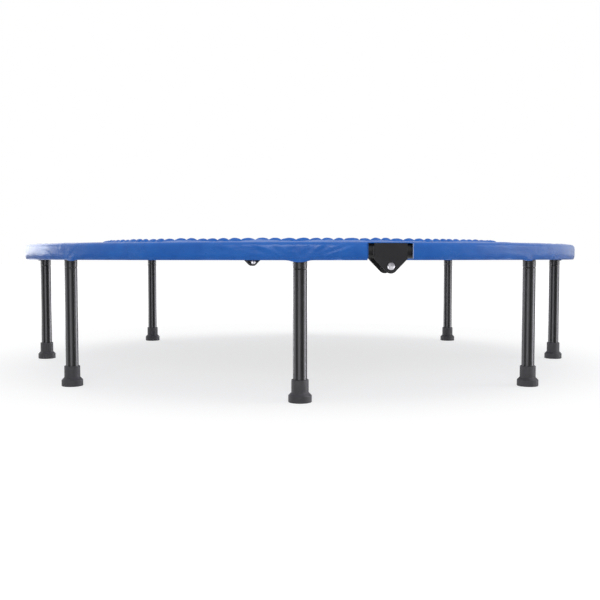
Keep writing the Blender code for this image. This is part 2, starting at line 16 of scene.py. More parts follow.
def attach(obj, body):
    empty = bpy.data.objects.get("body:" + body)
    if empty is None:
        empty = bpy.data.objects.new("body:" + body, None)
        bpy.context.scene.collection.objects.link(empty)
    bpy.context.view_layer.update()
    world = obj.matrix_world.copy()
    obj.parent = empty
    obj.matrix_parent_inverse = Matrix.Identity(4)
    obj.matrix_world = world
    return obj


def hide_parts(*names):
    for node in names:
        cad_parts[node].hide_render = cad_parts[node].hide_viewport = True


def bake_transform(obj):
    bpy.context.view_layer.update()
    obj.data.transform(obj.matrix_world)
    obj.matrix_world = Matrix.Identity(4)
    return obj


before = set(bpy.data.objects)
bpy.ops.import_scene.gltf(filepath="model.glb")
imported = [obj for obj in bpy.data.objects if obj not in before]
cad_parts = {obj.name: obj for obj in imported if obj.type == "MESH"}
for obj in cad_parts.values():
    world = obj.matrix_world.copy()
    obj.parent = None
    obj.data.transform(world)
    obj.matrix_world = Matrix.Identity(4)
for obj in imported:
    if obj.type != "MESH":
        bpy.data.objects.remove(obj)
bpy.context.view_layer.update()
MM = 0.001

# %% [markdown]
# Sizes come from the frame. The ring's centre line carries the legs, and the fold line passes
# through two hinges that stand a little to one side of the first and the fifth leg. Positions
# round the ring are angles counted from the front, and the two halves are the same half, the
# second one turned by half a turn, so each piece is made once, at the front, and then turned.

# %% Driving sizes
LEG_CIRCLE = 595.1 * MM
LEG_COUNT = 8
LEGS = range(1, LEG_COUNT + 1)
FOLD_TURN = math.radians(14.1)
TUBE_RADIUS = 12.5 * MM
TUBE_HEIGHT = 247.5 * MM
LEG_RADIUS = 11.6 * MM
SEAM_HEIGHT = 217.8 * MM
PIN_HEIGHT = 222.3 * MM
RIGHT_ANGLE = math.radians(90)


def round_the_ring(radius, angle, height):
    """The point at an angle from the front, counted towards the right."""
    return Vector((radius * math.sin(angle), -radius * math.cos(angle), height))


def leg_turn(number):
    return (number - 1) * 2 * math.pi / LEG_COUNT


print("legs at", [round(math.degrees(leg_turn(number))) for number in LEGS], "degrees")

# %% [markdown]
# The photograph was taken from just above the ring's height, square to one leg. The camera
# stands 1.95 m from the centre and looks down by 3 degrees, so the cover shows as a thin blue
# band and only the tips of its gathers stand above the rim.

# %% Camera
CAMERA_PLACE = (0.0, -1.9544, 0.2377)
CAMERA_TILT = math.radians(87.04)
bpy.ops.object.camera_add(location=CAMERA_PLACE, rotation=(CAMERA_TILT, 0.0, 0.0))
camera = bpy.context.object
camera.name = "photo_camera"
camera.data.sensor_width = 36.0
camera.data.lens = 50.08
bpy.context.scene.camera = camera
bpy.context.scene.view_settings.view_transform = "Standard"
print("camera height", camera.location.z)

# %% [markdown]
# A finish is a Principled material with small variations on top of it. These helpers keep the
# node work short: one makes a node and fills its sockets, and one starts a finish. Patterns read
# Object coordinates, which are metres in the frame, so their scales are real sizes.

# %% Helpers for finishes
def add_node(tree, kind, inputs=None, **settings):
    """A node with its settings, its sockets filled with values or linked to other sockets."""
    node = tree.nodes.new(kind)
    for key, value in settings.items():
        setattr(node, key, value)
    for key, value in (inputs or {}).items():
        if isinstance(value, bpy.types.NodeSocket):
            tree.links.new(value, node.inputs[key])
        else:
            node.inputs[key].default_value = value
    return node


def start_finish(name, colour, roughness, metallic=0.0, shine=0.5):
    """A Principled material, its node tree, its shader and the outputs of its coordinates."""
    material = bpy.data.materials.new(name)
    material.use_nodes = True
    tree = material.node_tree
    shader = tree.nodes["Principled BSDF"]
    for socket, value in (("Base Color", (*colour, 1.0)), ("Roughness", roughness),
                          ("Metallic", metallic), ("Specular IOR Level", shine)):
        shader.inputs[socket].default_value = value
    return material, tree, shader, add_node(tree, "ShaderNodeTexCoord").outputs


def maths(tree, operation, *values, **settings):
    """The result of a Math node."""
    return add_node(tree, "ShaderNodeMath", dict(enumerate(values)), operation=operation,
                    **settings).outputs[0]


def mixed(tree, factor, one, two):
    """A mix of two colours or patterns."""
    ends = [(*end, 1.0) if isinstance(end, tuple) else end for end in (one, two)]
    return add_node(tree, "ShaderNodeMixRGB", {
        "Fac": factor, "Color1": ends[0], "Color2": ends[1]}).outputs[0]


def mottle(tree, coordinates, scale, detail=3.0):
    """A noise pattern from 0 to 1, with its size as a count per metre."""
    return add_node(tree, "ShaderNodeTexNoise", {
        "Vector": coordinates, "Scale": scale, "Detail": detail}).outputs["Fac"]


def spread(tree, value, low, high, out_low=0.0, out_high=1.0):
    """Stretch the part of a pattern between two levels over another range."""
    return add_node(
        tree, "ShaderNodeMapRange",
        {"Value": value, "From Min": low, "From Max": high,
         "To Min": out_low, "To Max": out_high},
    ).outputs[0]


def blend_colours(tree, shader, factor, one, two):
    """The base colour goes from one colour to another with a pattern."""
    tree.links.new(mixed(tree, factor, one, two), shader.inputs["Base Color"])


def raise_surface(tree, shader, height, distance, strength=1.0, below=None):
    """Bump a surface by a pattern, on top of an earlier bump if there is one."""
    inputs = {"Height": height, "Distance": distance, "Strength": strength}
    if below:
        inputs["Normal"] = below
    bump = add_node(tree, "ShaderNodeBump", inputs)
    tree.links.new(bump.outputs[0], shader.inputs["Normal"])
    return bump.outputs[0]


print("finish helpers ready")

# %% [markdown]
# The ring, the sockets and the legs wear a black powder coat: satin, with a very fine orange
# peel and slightly uneven gloss. The ring's copy of it is darker and less glossy, a painted shade
# for the dark recess under the cover where the tube shows. The hinge plates have the same paint
# over pressed steel, a bit more matt, and their copy is painted a little darker and bluer:
# painted shade and a painted reflection of their dark surroundings. Rubber feet are matt, with a
# fine grain and a little dust.

# %% Painted steel and rubber
def paint(name, dark, light, roughness, peel, shine=0.5):
    """A finish with cloudy colour, uneven gloss and an orange peel of a given depth."""
    material, tree, shader, where = start_finish(name, dark, roughness, shine=shine)
    clouds = mottle(tree, where["Object"], 38.0)
    blend_colours(tree, shader, spread(tree, clouds, 0.35, 0.65), dark, light)
    gloss = spread(tree, mottle(tree, where["Object"], 160.0), 0.3, 0.7,
                   roughness - 0.01, roughness + 0.02)
    tree.links.new(gloss, shader.inputs["Roughness"])
    raise_surface(tree, shader, mottle(tree, where["Object"], 900.0, 1.0), peel)
    return material


powder_coat = paint("powder_coat_black", (0.016, 0.016, 0.017), (0.020, 0.020, 0.021),
                    0.25, 0.000004)
# Painted shade: the hinge copy of the black paint is set darker and bluer than the legs' coat.
hinge_paint_shaded = paint("hinge_paint_black", (0.013, 0.013, 0.015), (0.017, 0.017, 0.019),
                    0.46, 0.000025, 0.3)
# Painted shade: the ring's copy of the coat is set darker, for the shaded recess where the tube
# shows.
ring_coat_shaded = paint("ring_coat_black", (0.011, 0.011, 0.012), (0.014, 0.014, 0.015),
                  0.36, 0.000015, 0.3)
weld_paint = paint("weld_paint_black", (0.020, 0.020, 0.022), (0.034, 0.033, 0.034),
                   0.48, 0.00008)
foot_rubber = paint("foot_rubber", (0.029, 0.028, 0.032), (0.037, 0.036, 0.040), 0.66, 0.00005)
seam_rubber = paint("seam_rubber", (0.010, 0.010, 0.010), (0.016, 0.016, 0.016), 0.78, 0.0001)
print("painted finishes made")

# %% [markdown]
# Bright parts are metallic: chrome on the bolt heads and domed nuts, duller zinc with fine
# wire-drawing marks on the springs, and pale nylon on the hinge bushes.

# %% Bright metal and nylon
BRIGHT_STEEL = (0.60, 0.60, 0.62)


def bright(name, roughness, marks):
    """Bare metal with patches of gloss and fine marks of a given depth."""
    material, tree, shader, where = start_finish(name, BRIGHT_STEEL, roughness, 1.0)
    patches = mottle(tree, where["Object"], 240.0)
    tree.links.new(spread(tree, patches, 0.3, 0.7, roughness - 0.04, roughness + 0.08),
                   shader.inputs["Roughness"])
    raise_surface(tree, shader, mottle(tree, where["Object"], 1500.0, 2.0), marks)
    return material


chrome = bright("bright_chrome", 0.34, 0.00001)
zinc = bright("zinc_wire", 0.28, 0.00004)
nylon, tree, shader, where = start_finish("nylon_bush", (0.55, 0.55, 0.51), 0.45)
blend_colours(tree, shader, mottle(tree, where["Object"], 300.0),
              (0.50, 0.50, 0.46), (0.60, 0.60, 0.56))
raise_surface(tree, shader, mottle(tree, where["Object"], 1200.0), 0.00005)
print("bright finishes made")

# %% [markdown]
# The mat is black woven polypropylene tape. Two sets of bands cross at right angles, and each
# one shows only where it lies on top, as in plain weave. The webbing of the hem and tabs is a
# coarser weave of the same yarn, and its thread is dark grey.

# %% Woven cloths
TWO_PITCH_WAVE = 0.15915


def yarns(tree, coordinates, pitch, distortion, detail=2.0, detail_scale=1.0):
    """Two sets of bands that cross, with two pitches from one band to the next."""
    return [add_node(tree, "ShaderNodeTexWave", {
        "Vector": coordinates, "Scale": TWO_PITCH_WAVE / pitch, "Distortion": distortion,
        "Detail": detail, "Detail Scale": detail_scale}, bands_direction=axis).outputs["Fac"]
        for axis in "XY"]


def woven(name, dark, light, pitch, depth, roughness):
    material, tree, shader, where = start_finish(name, dark, roughness, shine=0.22)
    warp, weft = yarns(tree, where["Object"], pitch, 0.6, 1.0, 3.0)
    checker = add_node(tree, "ShaderNodeTexChecker", {
        "Vector": where["Object"], "Scale": 1.0 / pitch}).outputs["Fac"]
    weave = mixed(tree, checker, warp, weft)
    shade = maths(tree, "MULTIPLY", weave, mottle(tree, where["Object"], 420.0))
    blend_colours(tree, shader, spread(tree, shade, 0.1, 0.6), dark, light)
    raise_surface(tree, shader, weave, depth)
    return material


mat_weave = woven("mat_weave", (0.005, 0.005, 0.006), (0.016, 0.016, 0.018),
                  1.7 * MM, 0.00035, 0.55)
webbing = woven("hem_webbing", (0.008, 0.008, 0.009), (0.026, 0.026, 0.028),
                2.4 * MM, 0.00050, 0.62)


def sewing_thread(name, dark, light):
    material, tree, shader, where = start_finish(name, dark, 0.6)
    twist = add_node(tree, "ShaderNodeTexWave", {"Vector": where["Object"], "Scale": 260.0},
                     bands_direction="DIAGONAL").outputs["Fac"]
    blend_colours(tree, shader, twist, dark, light)
    raise_surface(tree, shader, twist, 0.0001)
    return material


thread = sewing_thread("sewing_thread", (0.035, 0.035, 0.04), (0.075, 0.075, 0.08))
# Painted highlight: this pale tape colour stands for the thin line of light along the bound edge
# on the swinging half.
edge_tape = sewing_thread("edge_tape", (0.36, 0.46, 0.74), (0.46, 0.56, 0.80))
thread_blue = sewing_thread("blue_thread", (0.014, 0.105, 0.40), (0.030, 0.140, 0.47))
print("woven finishes made")

# %% [markdown]
# The cover is a blue coated cloth: a smooth skin over a fine weave that shows as faint ribs. Use
# has crinkled it, and each crinkle is glossier along its ridge, where its colour is also painted
# paler as a painted sheen. The cover has its own UV map in metres, with U round the ring and V
# across the cover from the hem upwards, so the ribs and the slanting crinkles follow the cloth
# over the rim. The stretched skirt is
# glossier than the slack, gathered top.

# %% Coated blue cloth
RIB_PITCH = 0.9 * MM
CRINKLE_SETS = ((38.0, 26.0), (-52.0, 19.0))


def crinkles(tree, where):
    """Thin ridges in two slanting directions, broken up into short ones."""
    ridges = 0.0
    for turn, scale in CRINKLE_SETS:
        slanted = add_node(tree, "ShaderNodeMapping", {
            "Vector": where, "Rotation": (0.0, 0.0, math.radians(turn)),
            "Scale": (1.0, 3.2, 1.0)}).outputs[0]
        field = add_node(tree, "ShaderNodeTexNoise", {
            "Vector": slanted, "Scale": scale, "Detail": 3.0, "Distortion": 0.5}).outputs["Fac"]
        fold = maths(tree, "ABSOLUTE", maths(tree, "SUBTRACT", field, 0.5))
        ridges = maths(tree, "MAXIMUM", ridges, spread(tree, fold, 0.0, 0.055, 1.0, 0.0))
    return maths(tree, "MULTIPLY", ridges, spread(tree, mottle(tree, where, 14.0), 0.42, 0.72))


def coated_cloth(name, base, deep, pale):
    material, tree, shader, outputs = start_finish(name, base, 0.34)
    where = outputs["UV"]
    clouds = spread(tree, mottle(tree, where, 34.0, 4.0), 0.30, 0.70)
    ridges = crinkles(tree, where)
    # Painted sheen: along each crinkle's ridge the colour is painted paler, on top of the real
    # gloss and bump.
    blend_colours(tree, shader, spread(tree, ridges, 0.0, 1.0, 0.0, 0.42),
                  mixed(tree, clouds, deep, base), pale)
    across = add_node(tree, "ShaderNodeSeparateXYZ", {0: where}).outputs["Y"]
    slack = spread(tree, across, 0.045, 0.110)
    crinkled = maths(tree, "MULTIPLY_ADD", ridges, -0.05, slack)
    tree.links.new(spread(tree, crinkled, -0.05, 1.0, 0.27, 0.42), shader.inputs["Roughness"])
    tree.links.new(spread(tree, slack, 0.0, 1.0, 0.36, 0.10),
                   shader.inputs["Specular IOR Level"])
    ribs = maths(tree, "ADD", *yarns(tree, where, RIB_PITCH, 0.3))
    skin = raise_surface(tree, shader, ribs, 0.000015)
    raise_surface(tree, shader, ridges, 0.0003, 0.7, skin)
    return material


# The third colour is the painted sheen on the crinkle ridges.
cover_blue = coated_cloth("cover_blue", (0.010, 0.124, 0.485), (0.006, 0.098, 0.420),
                          (0.045, 0.175, 0.530))
print("cover finishes made")

# %% [markdown]
# The photograph is a plain product shot: white floor and backdrop, one broad light from above
# that leaves a soft grey patch under the trampoline, and tall soft boxes at both sides that draw
# upright streaks on the legs. The floor is lit a little under white, and camera rays see it
# raised to white, so that it keeps the shadow.

# %% Floor, world and lights
FLOOR_GREY = (0.78, 0.78, 0.78)
SEEN_GREY = (0.34, 0.34, 0.345)


def camera_sight(tree):
    """1 for camera, glossy and transmission rays, and 0 for the rays that light the object."""
    path = add_node(tree, "ShaderNodeLightPath").outputs
    total = path["Is Camera Ray"]
    for name in ("Is Glossy Ray", "Is Transmission Ray"):
        total = maths(tree, "ADD", total, path[name], use_clamp=True)
    return total


def soft_box(name, location, target, size, watts):
    bpy.ops.object.light_add(type="AREA", location=location)
    lamp = bpy.context.object
    lamp.name = name
    lamp.data.shape = "RECTANGLE"
    lamp.data.size, lamp.data.size_y = size
    lamp.data.energy = watts
    lamp.rotation_euler = (Vector(target) - lamp.location).to_track_quat("-Z", "Y").to_euler()
    return lamp


bpy.ops.mesh.primitive_plane_add(size=40.0)
floor = bpy.context.object
floor.name = "studio_floor"
floor_paint, tree, shader, where = start_finish("studio_floor", FLOOR_GREY, 0.9, shine=0.0)
seen = camera_sight(tree)
blend_colours(tree, shader, seen, FLOOR_GREY, SEEN_GREY)
away = add_node(tree, "ShaderNodeVectorMath", {0: where["Object"]},
                operation="LENGTH").outputs["Value"]
glow = maths(tree, "MULTIPLY", seen, spread(tree, away, 1.0, 2.2, 0.71, 1.0))
shader.inputs["Emission Color"].default_value = (1.0, 1.0, 1.0, 1.0)
tree.links.new(glow, shader.inputs["Emission Strength"])
under = add_node(tree, "ShaderNodeNewGeometry").outputs["Backfacing"]
see_through = add_node(tree, "ShaderNodeMixShader", {
    0: under, 1: shader.outputs[0],
    2: add_node(tree, "ShaderNodeBsdfTransparent").outputs[0]})
tree.links.new(see_through.outputs[0], tree.nodes["Material Output"].inputs["Surface"])
floor.data.materials.append(floor_paint)

world = bpy.data.worlds.new("studio_world")
bpy.context.scene.world = world
world.use_nodes = True
tree = world.node_tree
background = tree.nodes["Background"]
background.inputs["Color"].default_value = (1.0, 1.0, 1.0, 1.0)
tree.links.new(spread(tree, camera_sight(tree), 0.0, 1.0, 0.42, 1.0),
               background.inputs["Strength"])

overhead = soft_box("overhead_box", (0.0, 0.2, 2.6), (0.0, 0.0, 0.0), (2.6, 2.6), 34.0)
overhead.visible_glossy = False
soft_box("front_box", (-0.3, -3.2, 1.5), (0.0, 0.0, 0.2), (1.6, 1.2), 31.0)
soft_box("left_box", (-2.2, 2.3, 0.8), (0.0, 0.0, 0.25), (1.5, 1.6), 14.0)
soft_box("right_box", (2.6, -0.5, 0.8), (0.0, 0.0, 0.25), (0.9, 1.6), 12.0)
print("studio ready")

# %% [markdown]
# Painted tubes only look like tubes when they mirror something with edges. As on a studio set,
# dark and pale cards stand beside each leg, and only reflections see them: they cast no light
# or shadow on the object and the camera looks past them.

# %% Reflection cards beside the legs
CARD_TINT = (0.94, 0.93, 1.0)
CARD_HEIGHT = 0.224
CARD_MIDDLE = 0.1165
CARD_AWAY = 0.16
BESIDE_HINGE = 0.07
HINGE_CARD_TURN = -6


def card_finish(name, glow, far_glow=None, tint=CARD_TINT):
    """A black finish that glows, evenly or from one end of a card to the other."""
    material, tree, shader, where = start_finish(name, (0.0, 0.0, 0.0), 1.0, shine=0.0)
    shader.inputs["Emission Color"].default_value = (*tint, 1.0)
    shader.inputs["Emission Strength"].default_value = glow
    if far_glow is not None:
        along = add_node(tree, "ShaderNodeSeparateXYZ", {0: where["Object"]}).outputs["X"]
        tree.links.new(spread(tree, along, -0.5, 0.5, glow, far_glow),
                       shader.inputs["Emission Strength"])
    return material


def seen_in_reflections(piece, name, finish):
    """Name and finish a piece of the stage that only reflections see."""
    piece.name = name
    piece.data.materials.append(finish)
    for kind in ("camera", "diffuse", "shadow", "transmission", "volume_scatter"):
        setattr(piece, f"visible_{kind}", False)


def upright_card(name, place, turn, width, height, finish):
    """A standing card, turned about its upright axis."""
    bpy.ops.mesh.primitive_plane_add(size=1.0, location=place, rotation=(RIGHT_ANGLE, 0.0, turn))
    card = bpy.context.object
    card.scale = (width, height, 1.0)
    seen_in_reflections(card, name, finish)


dark_card = card_finish("dark_card", 0.1)
bright_card = card_finish("bright_card", 7.0)
cards = ((-93, 17, card_finish("side_card", 2.2)), (-52, 14, dark_card),
         (-14, 10, card_finish("pale_card", 3.4)), (34, 18, dark_card),
         (93, 14, bright_card), (134, 15, dark_card))
for number in LEGS:
    leg_place = round_the_ring(LEG_CIRCLE, leg_turn(number), CARD_MIDDLE)
    sight = camera.location - leg_place
    facing = math.atan2(sight.x, -sight.y)
    for turn, half, finish in cards:
        by_hinge = number == 1 and finish is bright_card
        away = BESIDE_HINGE if by_hinge else CARD_AWAY
        angle = facing + math.radians(turn + HINGE_CARD_TURN * by_hinge)
        upright_card(f"card_{number}_{turn + 180}", leg_place + round_the_ring(away, angle, 0.0),
                     angle, 2 * away * math.tan(math.radians(half)), CARD_HEIGHT, finish)
print("cards beside", LEG_COUNT, "legs")

# %% [markdown]
# The photograph shows the skirt's left end almost white, and its right end only a little paler.
# Two upright cards behind the ends give that: a bright one at the left and a grey one at the
# right, each brightest at its front edge. A grey lid lies over the cards of the legs, so that
# the skirt does not mirror them. Only reflections see these too.

# %% Reflection cards behind the skirt's ends
END_CARD_AWAY = 1.3
END_CARD_FRONT = -0.32
END_CARD_MIDDLE = 0.3
END_CARD_HEIGHT = 0.6
WHITE = (1.0, 1.0, 1.0)
LID_RADIUS = 0.612
LID_HEIGHT = 0.230
LID_SPREAD = 2.1
end_cards = (("left", -0.50, 47.5, 1.16, 5.4, 1.5), ("right", 0.50, 156.5, 2.70, 0.6, 2.3))
for side, start, turn, width, glow, far_glow in end_cards:
    turn = math.radians(turn)
    place = (start - END_CARD_AWAY * math.cos(turn),
             END_CARD_FRONT + END_CARD_AWAY * math.sin(turn), END_CARD_MIDDLE)
    upright_card(f"end_card_{side}", place, RIGHT_ANGLE - turn, width, END_CARD_HEIGHT,
                 card_finish(f"end_card_{side}", glow, far_glow, WHITE))
bpy.ops.mesh.primitive_circle_add(
    vertices=48, radius=LID_RADIUS, location=(0.0, 0.0, LID_HEIGHT))
bpy.ops.object.mode_set(mode="EDIT")
bpy.ops.mesh.extrude_region_move()
bpy.ops.transform.resize(value=(LID_SPREAD, LID_SPREAD, 1.0))
bpy.ops.object.mode_set(mode="OBJECT")
lid = bpy.context.object
seen_in_reflections(lid, "lid_over_leg_cards", card_finish("grey_lid", 0.4))
print("cards behind both ends of the skirt, and a lid of", len(lid.data.polygons), "faces")

# %% [markdown]
# Modelling helpers. Each shape starts from a primitive at its place. Faces or edges are then
# chosen in code by where they are, because there is no pointer to pick them with. A turned part
# is a closed profile laid on a circle primitive's corners and spun round.

# %% Modelling helpers
def deselect_all():
    if bpy.context.object and bpy.context.object.mode != "OBJECT":
        bpy.ops.object.mode_set(mode="OBJECT")
    bpy.ops.object.select_all(action="DESELECT")


def take(piece):
    """Make a piece the only selected and active one."""
    deselect_all()
    piece.select_set(True)
    bpy.context.view_layer.objects.active = piece
    return piece


def fresh(name):
    """Name the primitive just added and put its place into its mesh."""
    piece = bpy.context.object
    piece.name = name
    piece.data.name = name
    take(piece)
    bpy.ops.object.transform_apply(location=True, rotation=True, scale=True)
    return piece


def edit(piece, kind="FACE", everything=False):
    """Enter edit mode with nothing selected, or everything."""
    take(piece)
    bpy.ops.object.mode_set(mode="EDIT")
    bpy.ops.mesh.select_mode(type=kind)
    bpy.ops.mesh.select_all(action="SELECT" if everything else "DESELECT")


def done(piece):
    bpy.ops.object.mode_set(mode="OBJECT")
    return piece


def pick_faces(piece, test):
    mesh = bmesh.from_edit_mesh(piece.data)
    for face in mesh.faces:
        face.select_set(bool(test(face.calc_center_median(), face.normal)))
    bmesh.update_edit_mesh(piece.data)


def pick_edges(piece, test):
    mesh = bmesh.from_edit_mesh(piece.data)
    for edge in mesh.edges:
        edge.select_set(bool(test(edge.verts[0].co, edge.verts[1].co)))
    bmesh.update_edit_mesh(piece.data)


def recalculate(piece):
    """Merge doubles and point all faces outwards."""
    edit(piece, "VERT", everything=True)
    bpy.ops.mesh.remove_doubles(threshold=0.000002)
    bpy.ops.mesh.normals_make_consistent(inside=False)
    return done(piece)


def turned(name, profile, steps=40, centre=(0.0, 0.0)):
    """A closed profile of (radius, height) points, spun about an upright axis."""
    bpy.ops.mesh.primitive_circle_add(vertices=len(profile), fill_type="NOTHING")
    piece = fresh(name)
    for vert, (radius, height) in zip(piece.data.vertices, profile):
        vert.co = (centre[0] + radius, centre[1], height)
    edit(piece, "VERT", everything=True)
    bpy.ops.mesh.spin(steps=steps, angle=-2 * math.pi, center=(*centre, 0.0), axis=(0, 0, 1))
    return recalculate(done(piece))


def lay_along_bolt(piece):
    """Lay a part turned about Z down on the hinge bolt, its height pointing to the front."""
    piece.data.transform(
        Matrix.Translation((0.0, 0.0, PIN_HEIGHT)) @ Matrix.Rotation(RIGHT_ANGLE, 4, "X"))
    return piece


print("modelling helpers ready")

# %% [markdown]
# Modifiers finish a shape: Bevel rounds edges that would be sharp, Boolean cuts holes, and
# Weighted Normal keeps the long faces flat beside narrow bevels. Each is applied at once, so
# that the next step works on the real mesh.

# %% Modifiers, joining and smoothing
def apply_modifier(piece, kind, **settings):
    take(piece)
    modifier = piece.modifiers.new(kind.lower(), kind)
    for key, value in settings.items():
        setattr(modifier, key, value)
    bpy.ops.object.modifier_apply(modifier=modifier.name)


def round_edges(piece, width, segments, angle):
    apply_modifier(piece, "BEVEL", width=width, segments=segments, limit_method="ANGLE",
                   angle_limit=math.radians(angle), harden_normals=False)


def smooth(piece, angle=35.0, weighted=False):
    """Smooth shading below an angle. Weighted normals keep long faces flat beside bevels."""
    take(piece)
    bpy.ops.object.shade_smooth_by_angle(angle=math.radians(angle))
    if weighted:
        apply_modifier(piece, "WEIGHTED_NORMAL", keep_sharp=True)


def carve(piece, cutter, operation="DIFFERENCE"):
    apply_modifier(piece, "BOOLEAN", operation=operation, object=cutter, solver="EXACT")


def join(pieces, name):
    deselect_all()
    for piece in pieces:
        piece.select_set(True)
    bpy.context.view_layer.objects.active = pieces[0]
    bpy.ops.object.join()
    pieces[0].name = name
    pieces[0].data.name = name
    return pieces[0]


def discard(*pieces):
    for piece in pieces:
        bpy.data.objects.remove(piece, do_unlink=True)


def coat(piece, material):
    piece.data.materials.clear()
    piece.data.materials.append(material)
    return piece


def dress(piece, material, edge, corner=40.0, angle=35.0):
    """Round a hard piece's edges, give it its finish and smooth it."""
    round_edges(piece, edge, 2, corner)
    coat(piece, material)
    smooth(piece, angle, weighted=True)


print("finishing helpers ready")

# %% [markdown]
# What repeats is modelled once, at the front, and then copied to each leg, to both hinges or to
# both halves of the ring. Each copy has its own mesh, rides on its body, and takes the place of
# its solid. At each hinge the side plates are on one half and the lug is on the other.

# %% Copies that ride on the frame
HINGE_ENDS = (("front", FOLD_TURN, "frame_left", "frame_right"),
              ("back", FOLD_TURN + math.pi, "frame_right", "frame_left"))
leg_halves = ["frame_left" if number in (1, 6, 7, 8) else "frame_right" for number in LEGS]


def again(piece, name, turn):
    """A copy of a piece with its own mesh, turned round the ring."""
    copy = piece.copy()
    copy.data = piece.data.copy()
    copy.name = name
    copy.data.name = name
    bpy.context.scene.collection.objects.link(copy)
    copy.data.transform(Matrix.Rotation(turn, 4, "Z"))
    return copy


def triangles(piece):
    return sum(len(face.vertices) - 2 for face in piece.data.polygons)


def placed(piece, copies):
    """Copies of a piece, each given by its name, turn, body and solid, if there is one."""
    for name, turn, body, *nodes in copies:
        copy = again(piece, name, turn)
        if nodes:
            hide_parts(*nodes)
        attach(copy, body)
    print(len(copies), "copies of", piece.name, "with", triangles(piece), "triangles each")
    discard(piece)


def at_each_leg(piece, name, node, body=None):
    """A copy at each leg, on that leg's own body or else on the half of the ring there."""
    placed(piece, [
        (f"{name}_{number}", leg_turn(number), f"{body}_{number}" if body else half,
         f"{node}_{number}") for number, half in zip(LEGS, leg_halves)])


def at_both_hinges(piece, name, on_lug_half=False, solid=True):
    """A copy at each hinge, on the half that carries its plates or on the one with its lug."""
    copies = []
    for end, turn, plate_half, lug_half in HINGE_ENDS:
        nodes = [f"hinge_{name}_{end}"] if solid else []
        copies.append((f"{name}_{end}", turn, lug_half if on_lug_half else plate_half, *nodes))
    placed(piece, copies)


def on_both_halves(piece, name, node):
    """A copy on each half of the ring, of a piece that runs from the front round the right."""
    placed(piece, [
        (f"{name}_{side}", turn, f"frame_{side}", f"{node}_{side}")
        for side, turn in (("right", FOLD_TURN), ("left", FOLD_TURN + math.pi))])


print("each half of the ring carries", leg_halves.count("frame_left"), "legs")

# %% [markdown]
# Each half of the ring is a bent steel tube with open ends that butt at the fold line. A circle
# at the front end is spun by half a turn, and a Solidify modifier gives the tube its wall, which
# shows at the ends when the trampoline is folded. Small punched collars mark where each spring's
# hook enters the tube.

# %% Ring tubes
SPRINGS_PER_HALF = 18
HOOK_RISE = math.radians(38)
TUBE_WALL = 1.5 * MM
spring_turns = [math.pi * (k + 0.5) / SPRINGS_PER_HALF for k in range(SPRINGS_PER_HALF)]
deselect_all()
bpy.ops.mesh.primitive_circle_add(
    vertices=36, radius=TUBE_RADIUS, fill_type="NOTHING",
    location=(0.0, -LEG_CIRCLE, TUBE_HEIGHT), rotation=(0.0, RIGHT_ANGLE, 0.0))
half_tube = fresh("ring_tube")
edit(half_tube, "VERT", everything=True)
bpy.ops.mesh.spin(steps=108, angle=-math.pi, center=(0, 0, 0), axis=(0, 0, 1))
recalculate(done(half_tube))
for vert in half_tube.data.vertices:
    vert.co.x = max(vert.co.x, 0.25 * MM)
apply_modifier(half_tube, "SOLIDIFY", thickness=TUBE_WALL, offset=-1.0, use_even_offset=True)
bpy.ops.mesh.primitive_torus_add(
    major_radius=2.4 * MM, minor_radius=0.5 * MM, major_segments=14, minor_segments=6,
    rotation=(RIGHT_ANGLE - HOOK_RISE, 0.0, 0.0),
    location=(0.0, -(LEG_CIRCLE - TUBE_RADIUS * math.cos(HOOK_RISE)),
              TUBE_HEIGHT + TUBE_RADIUS * math.sin(HOOK_RISE)))
collar = fresh("hook_collar")
collars = [again(collar, f"collar_{k}", turn) for k, turn in enumerate(spring_turns)]
discard(collar)
half_tube = join([half_tube, *collars], "ring_tube")
coat(half_tube, ring_coat_shaded)
smooth(half_tube, 40)
on_both_halves(half_tube, "ring", "frame_tube")

# %% [markdown]
# A socket is a short stub welded under the ring, with a threaded hole up its middle. Its top is
# a saddle that fits the tube, cut here by moving the top corners onto the tube's round. The weld
# is a bead with the ripples of a hand-held torch, a torus that follows the saddle.

# %% Leg sockets
SOCKET_LENGTH = 20 * MM
HALF_SEAM = 0.85 * MM
BORE_RADIUS = 5.5 * MM
WELD_CIRCLE = LEG_RADIUS + 0.5 * MM
socket_bottom = SEAM_HEIGHT + HALF_SEAM


def saddle_height(across):
    """The underside of the tube, at a distance outwards from its centre line."""
    across = max(-TUBE_RADIUS, min(TUBE_RADIUS, across))
    return TUBE_HEIGHT - math.sqrt(TUBE_RADIUS**2 - across**2)


deselect_all()
bpy.ops.mesh.primitive_cylinder_add(
    vertices=40, radius=LEG_RADIUS, depth=SOCKET_LENGTH,
    location=(0.0, -LEG_CIRCLE, socket_bottom + SOCKET_LENGTH / 2))
socket = fresh("socket")
edit(socket)
pick_faces(socket, lambda centre, normal: normal.z < -0.9)
bpy.ops.mesh.inset(thickness=LEG_RADIUS - BORE_RADIUS)
bpy.ops.mesh.extrude_region_move(TRANSFORM_OT_translate={"value": (0.0, 0.0, 15.2 * MM)})
done(socket)
round_edges(socket, 0.35 * MM, 2, 60)
for vert in socket.data.vertices:
    if vert.co.z > socket_bottom + SOCKET_LENGTH - 2 * MM:
        vert.co.z = saddle_height(vert.co.y + LEG_CIRCLE) + 0.5 * MM
bpy.ops.mesh.primitive_torus_add(
    major_radius=WELD_CIRCLE, minor_radius=1.5 * MM, major_segments=96, minor_segments=8,
    location=(0.0, -LEG_CIRCLE, 0.0))
bead = fresh("weld_bead")
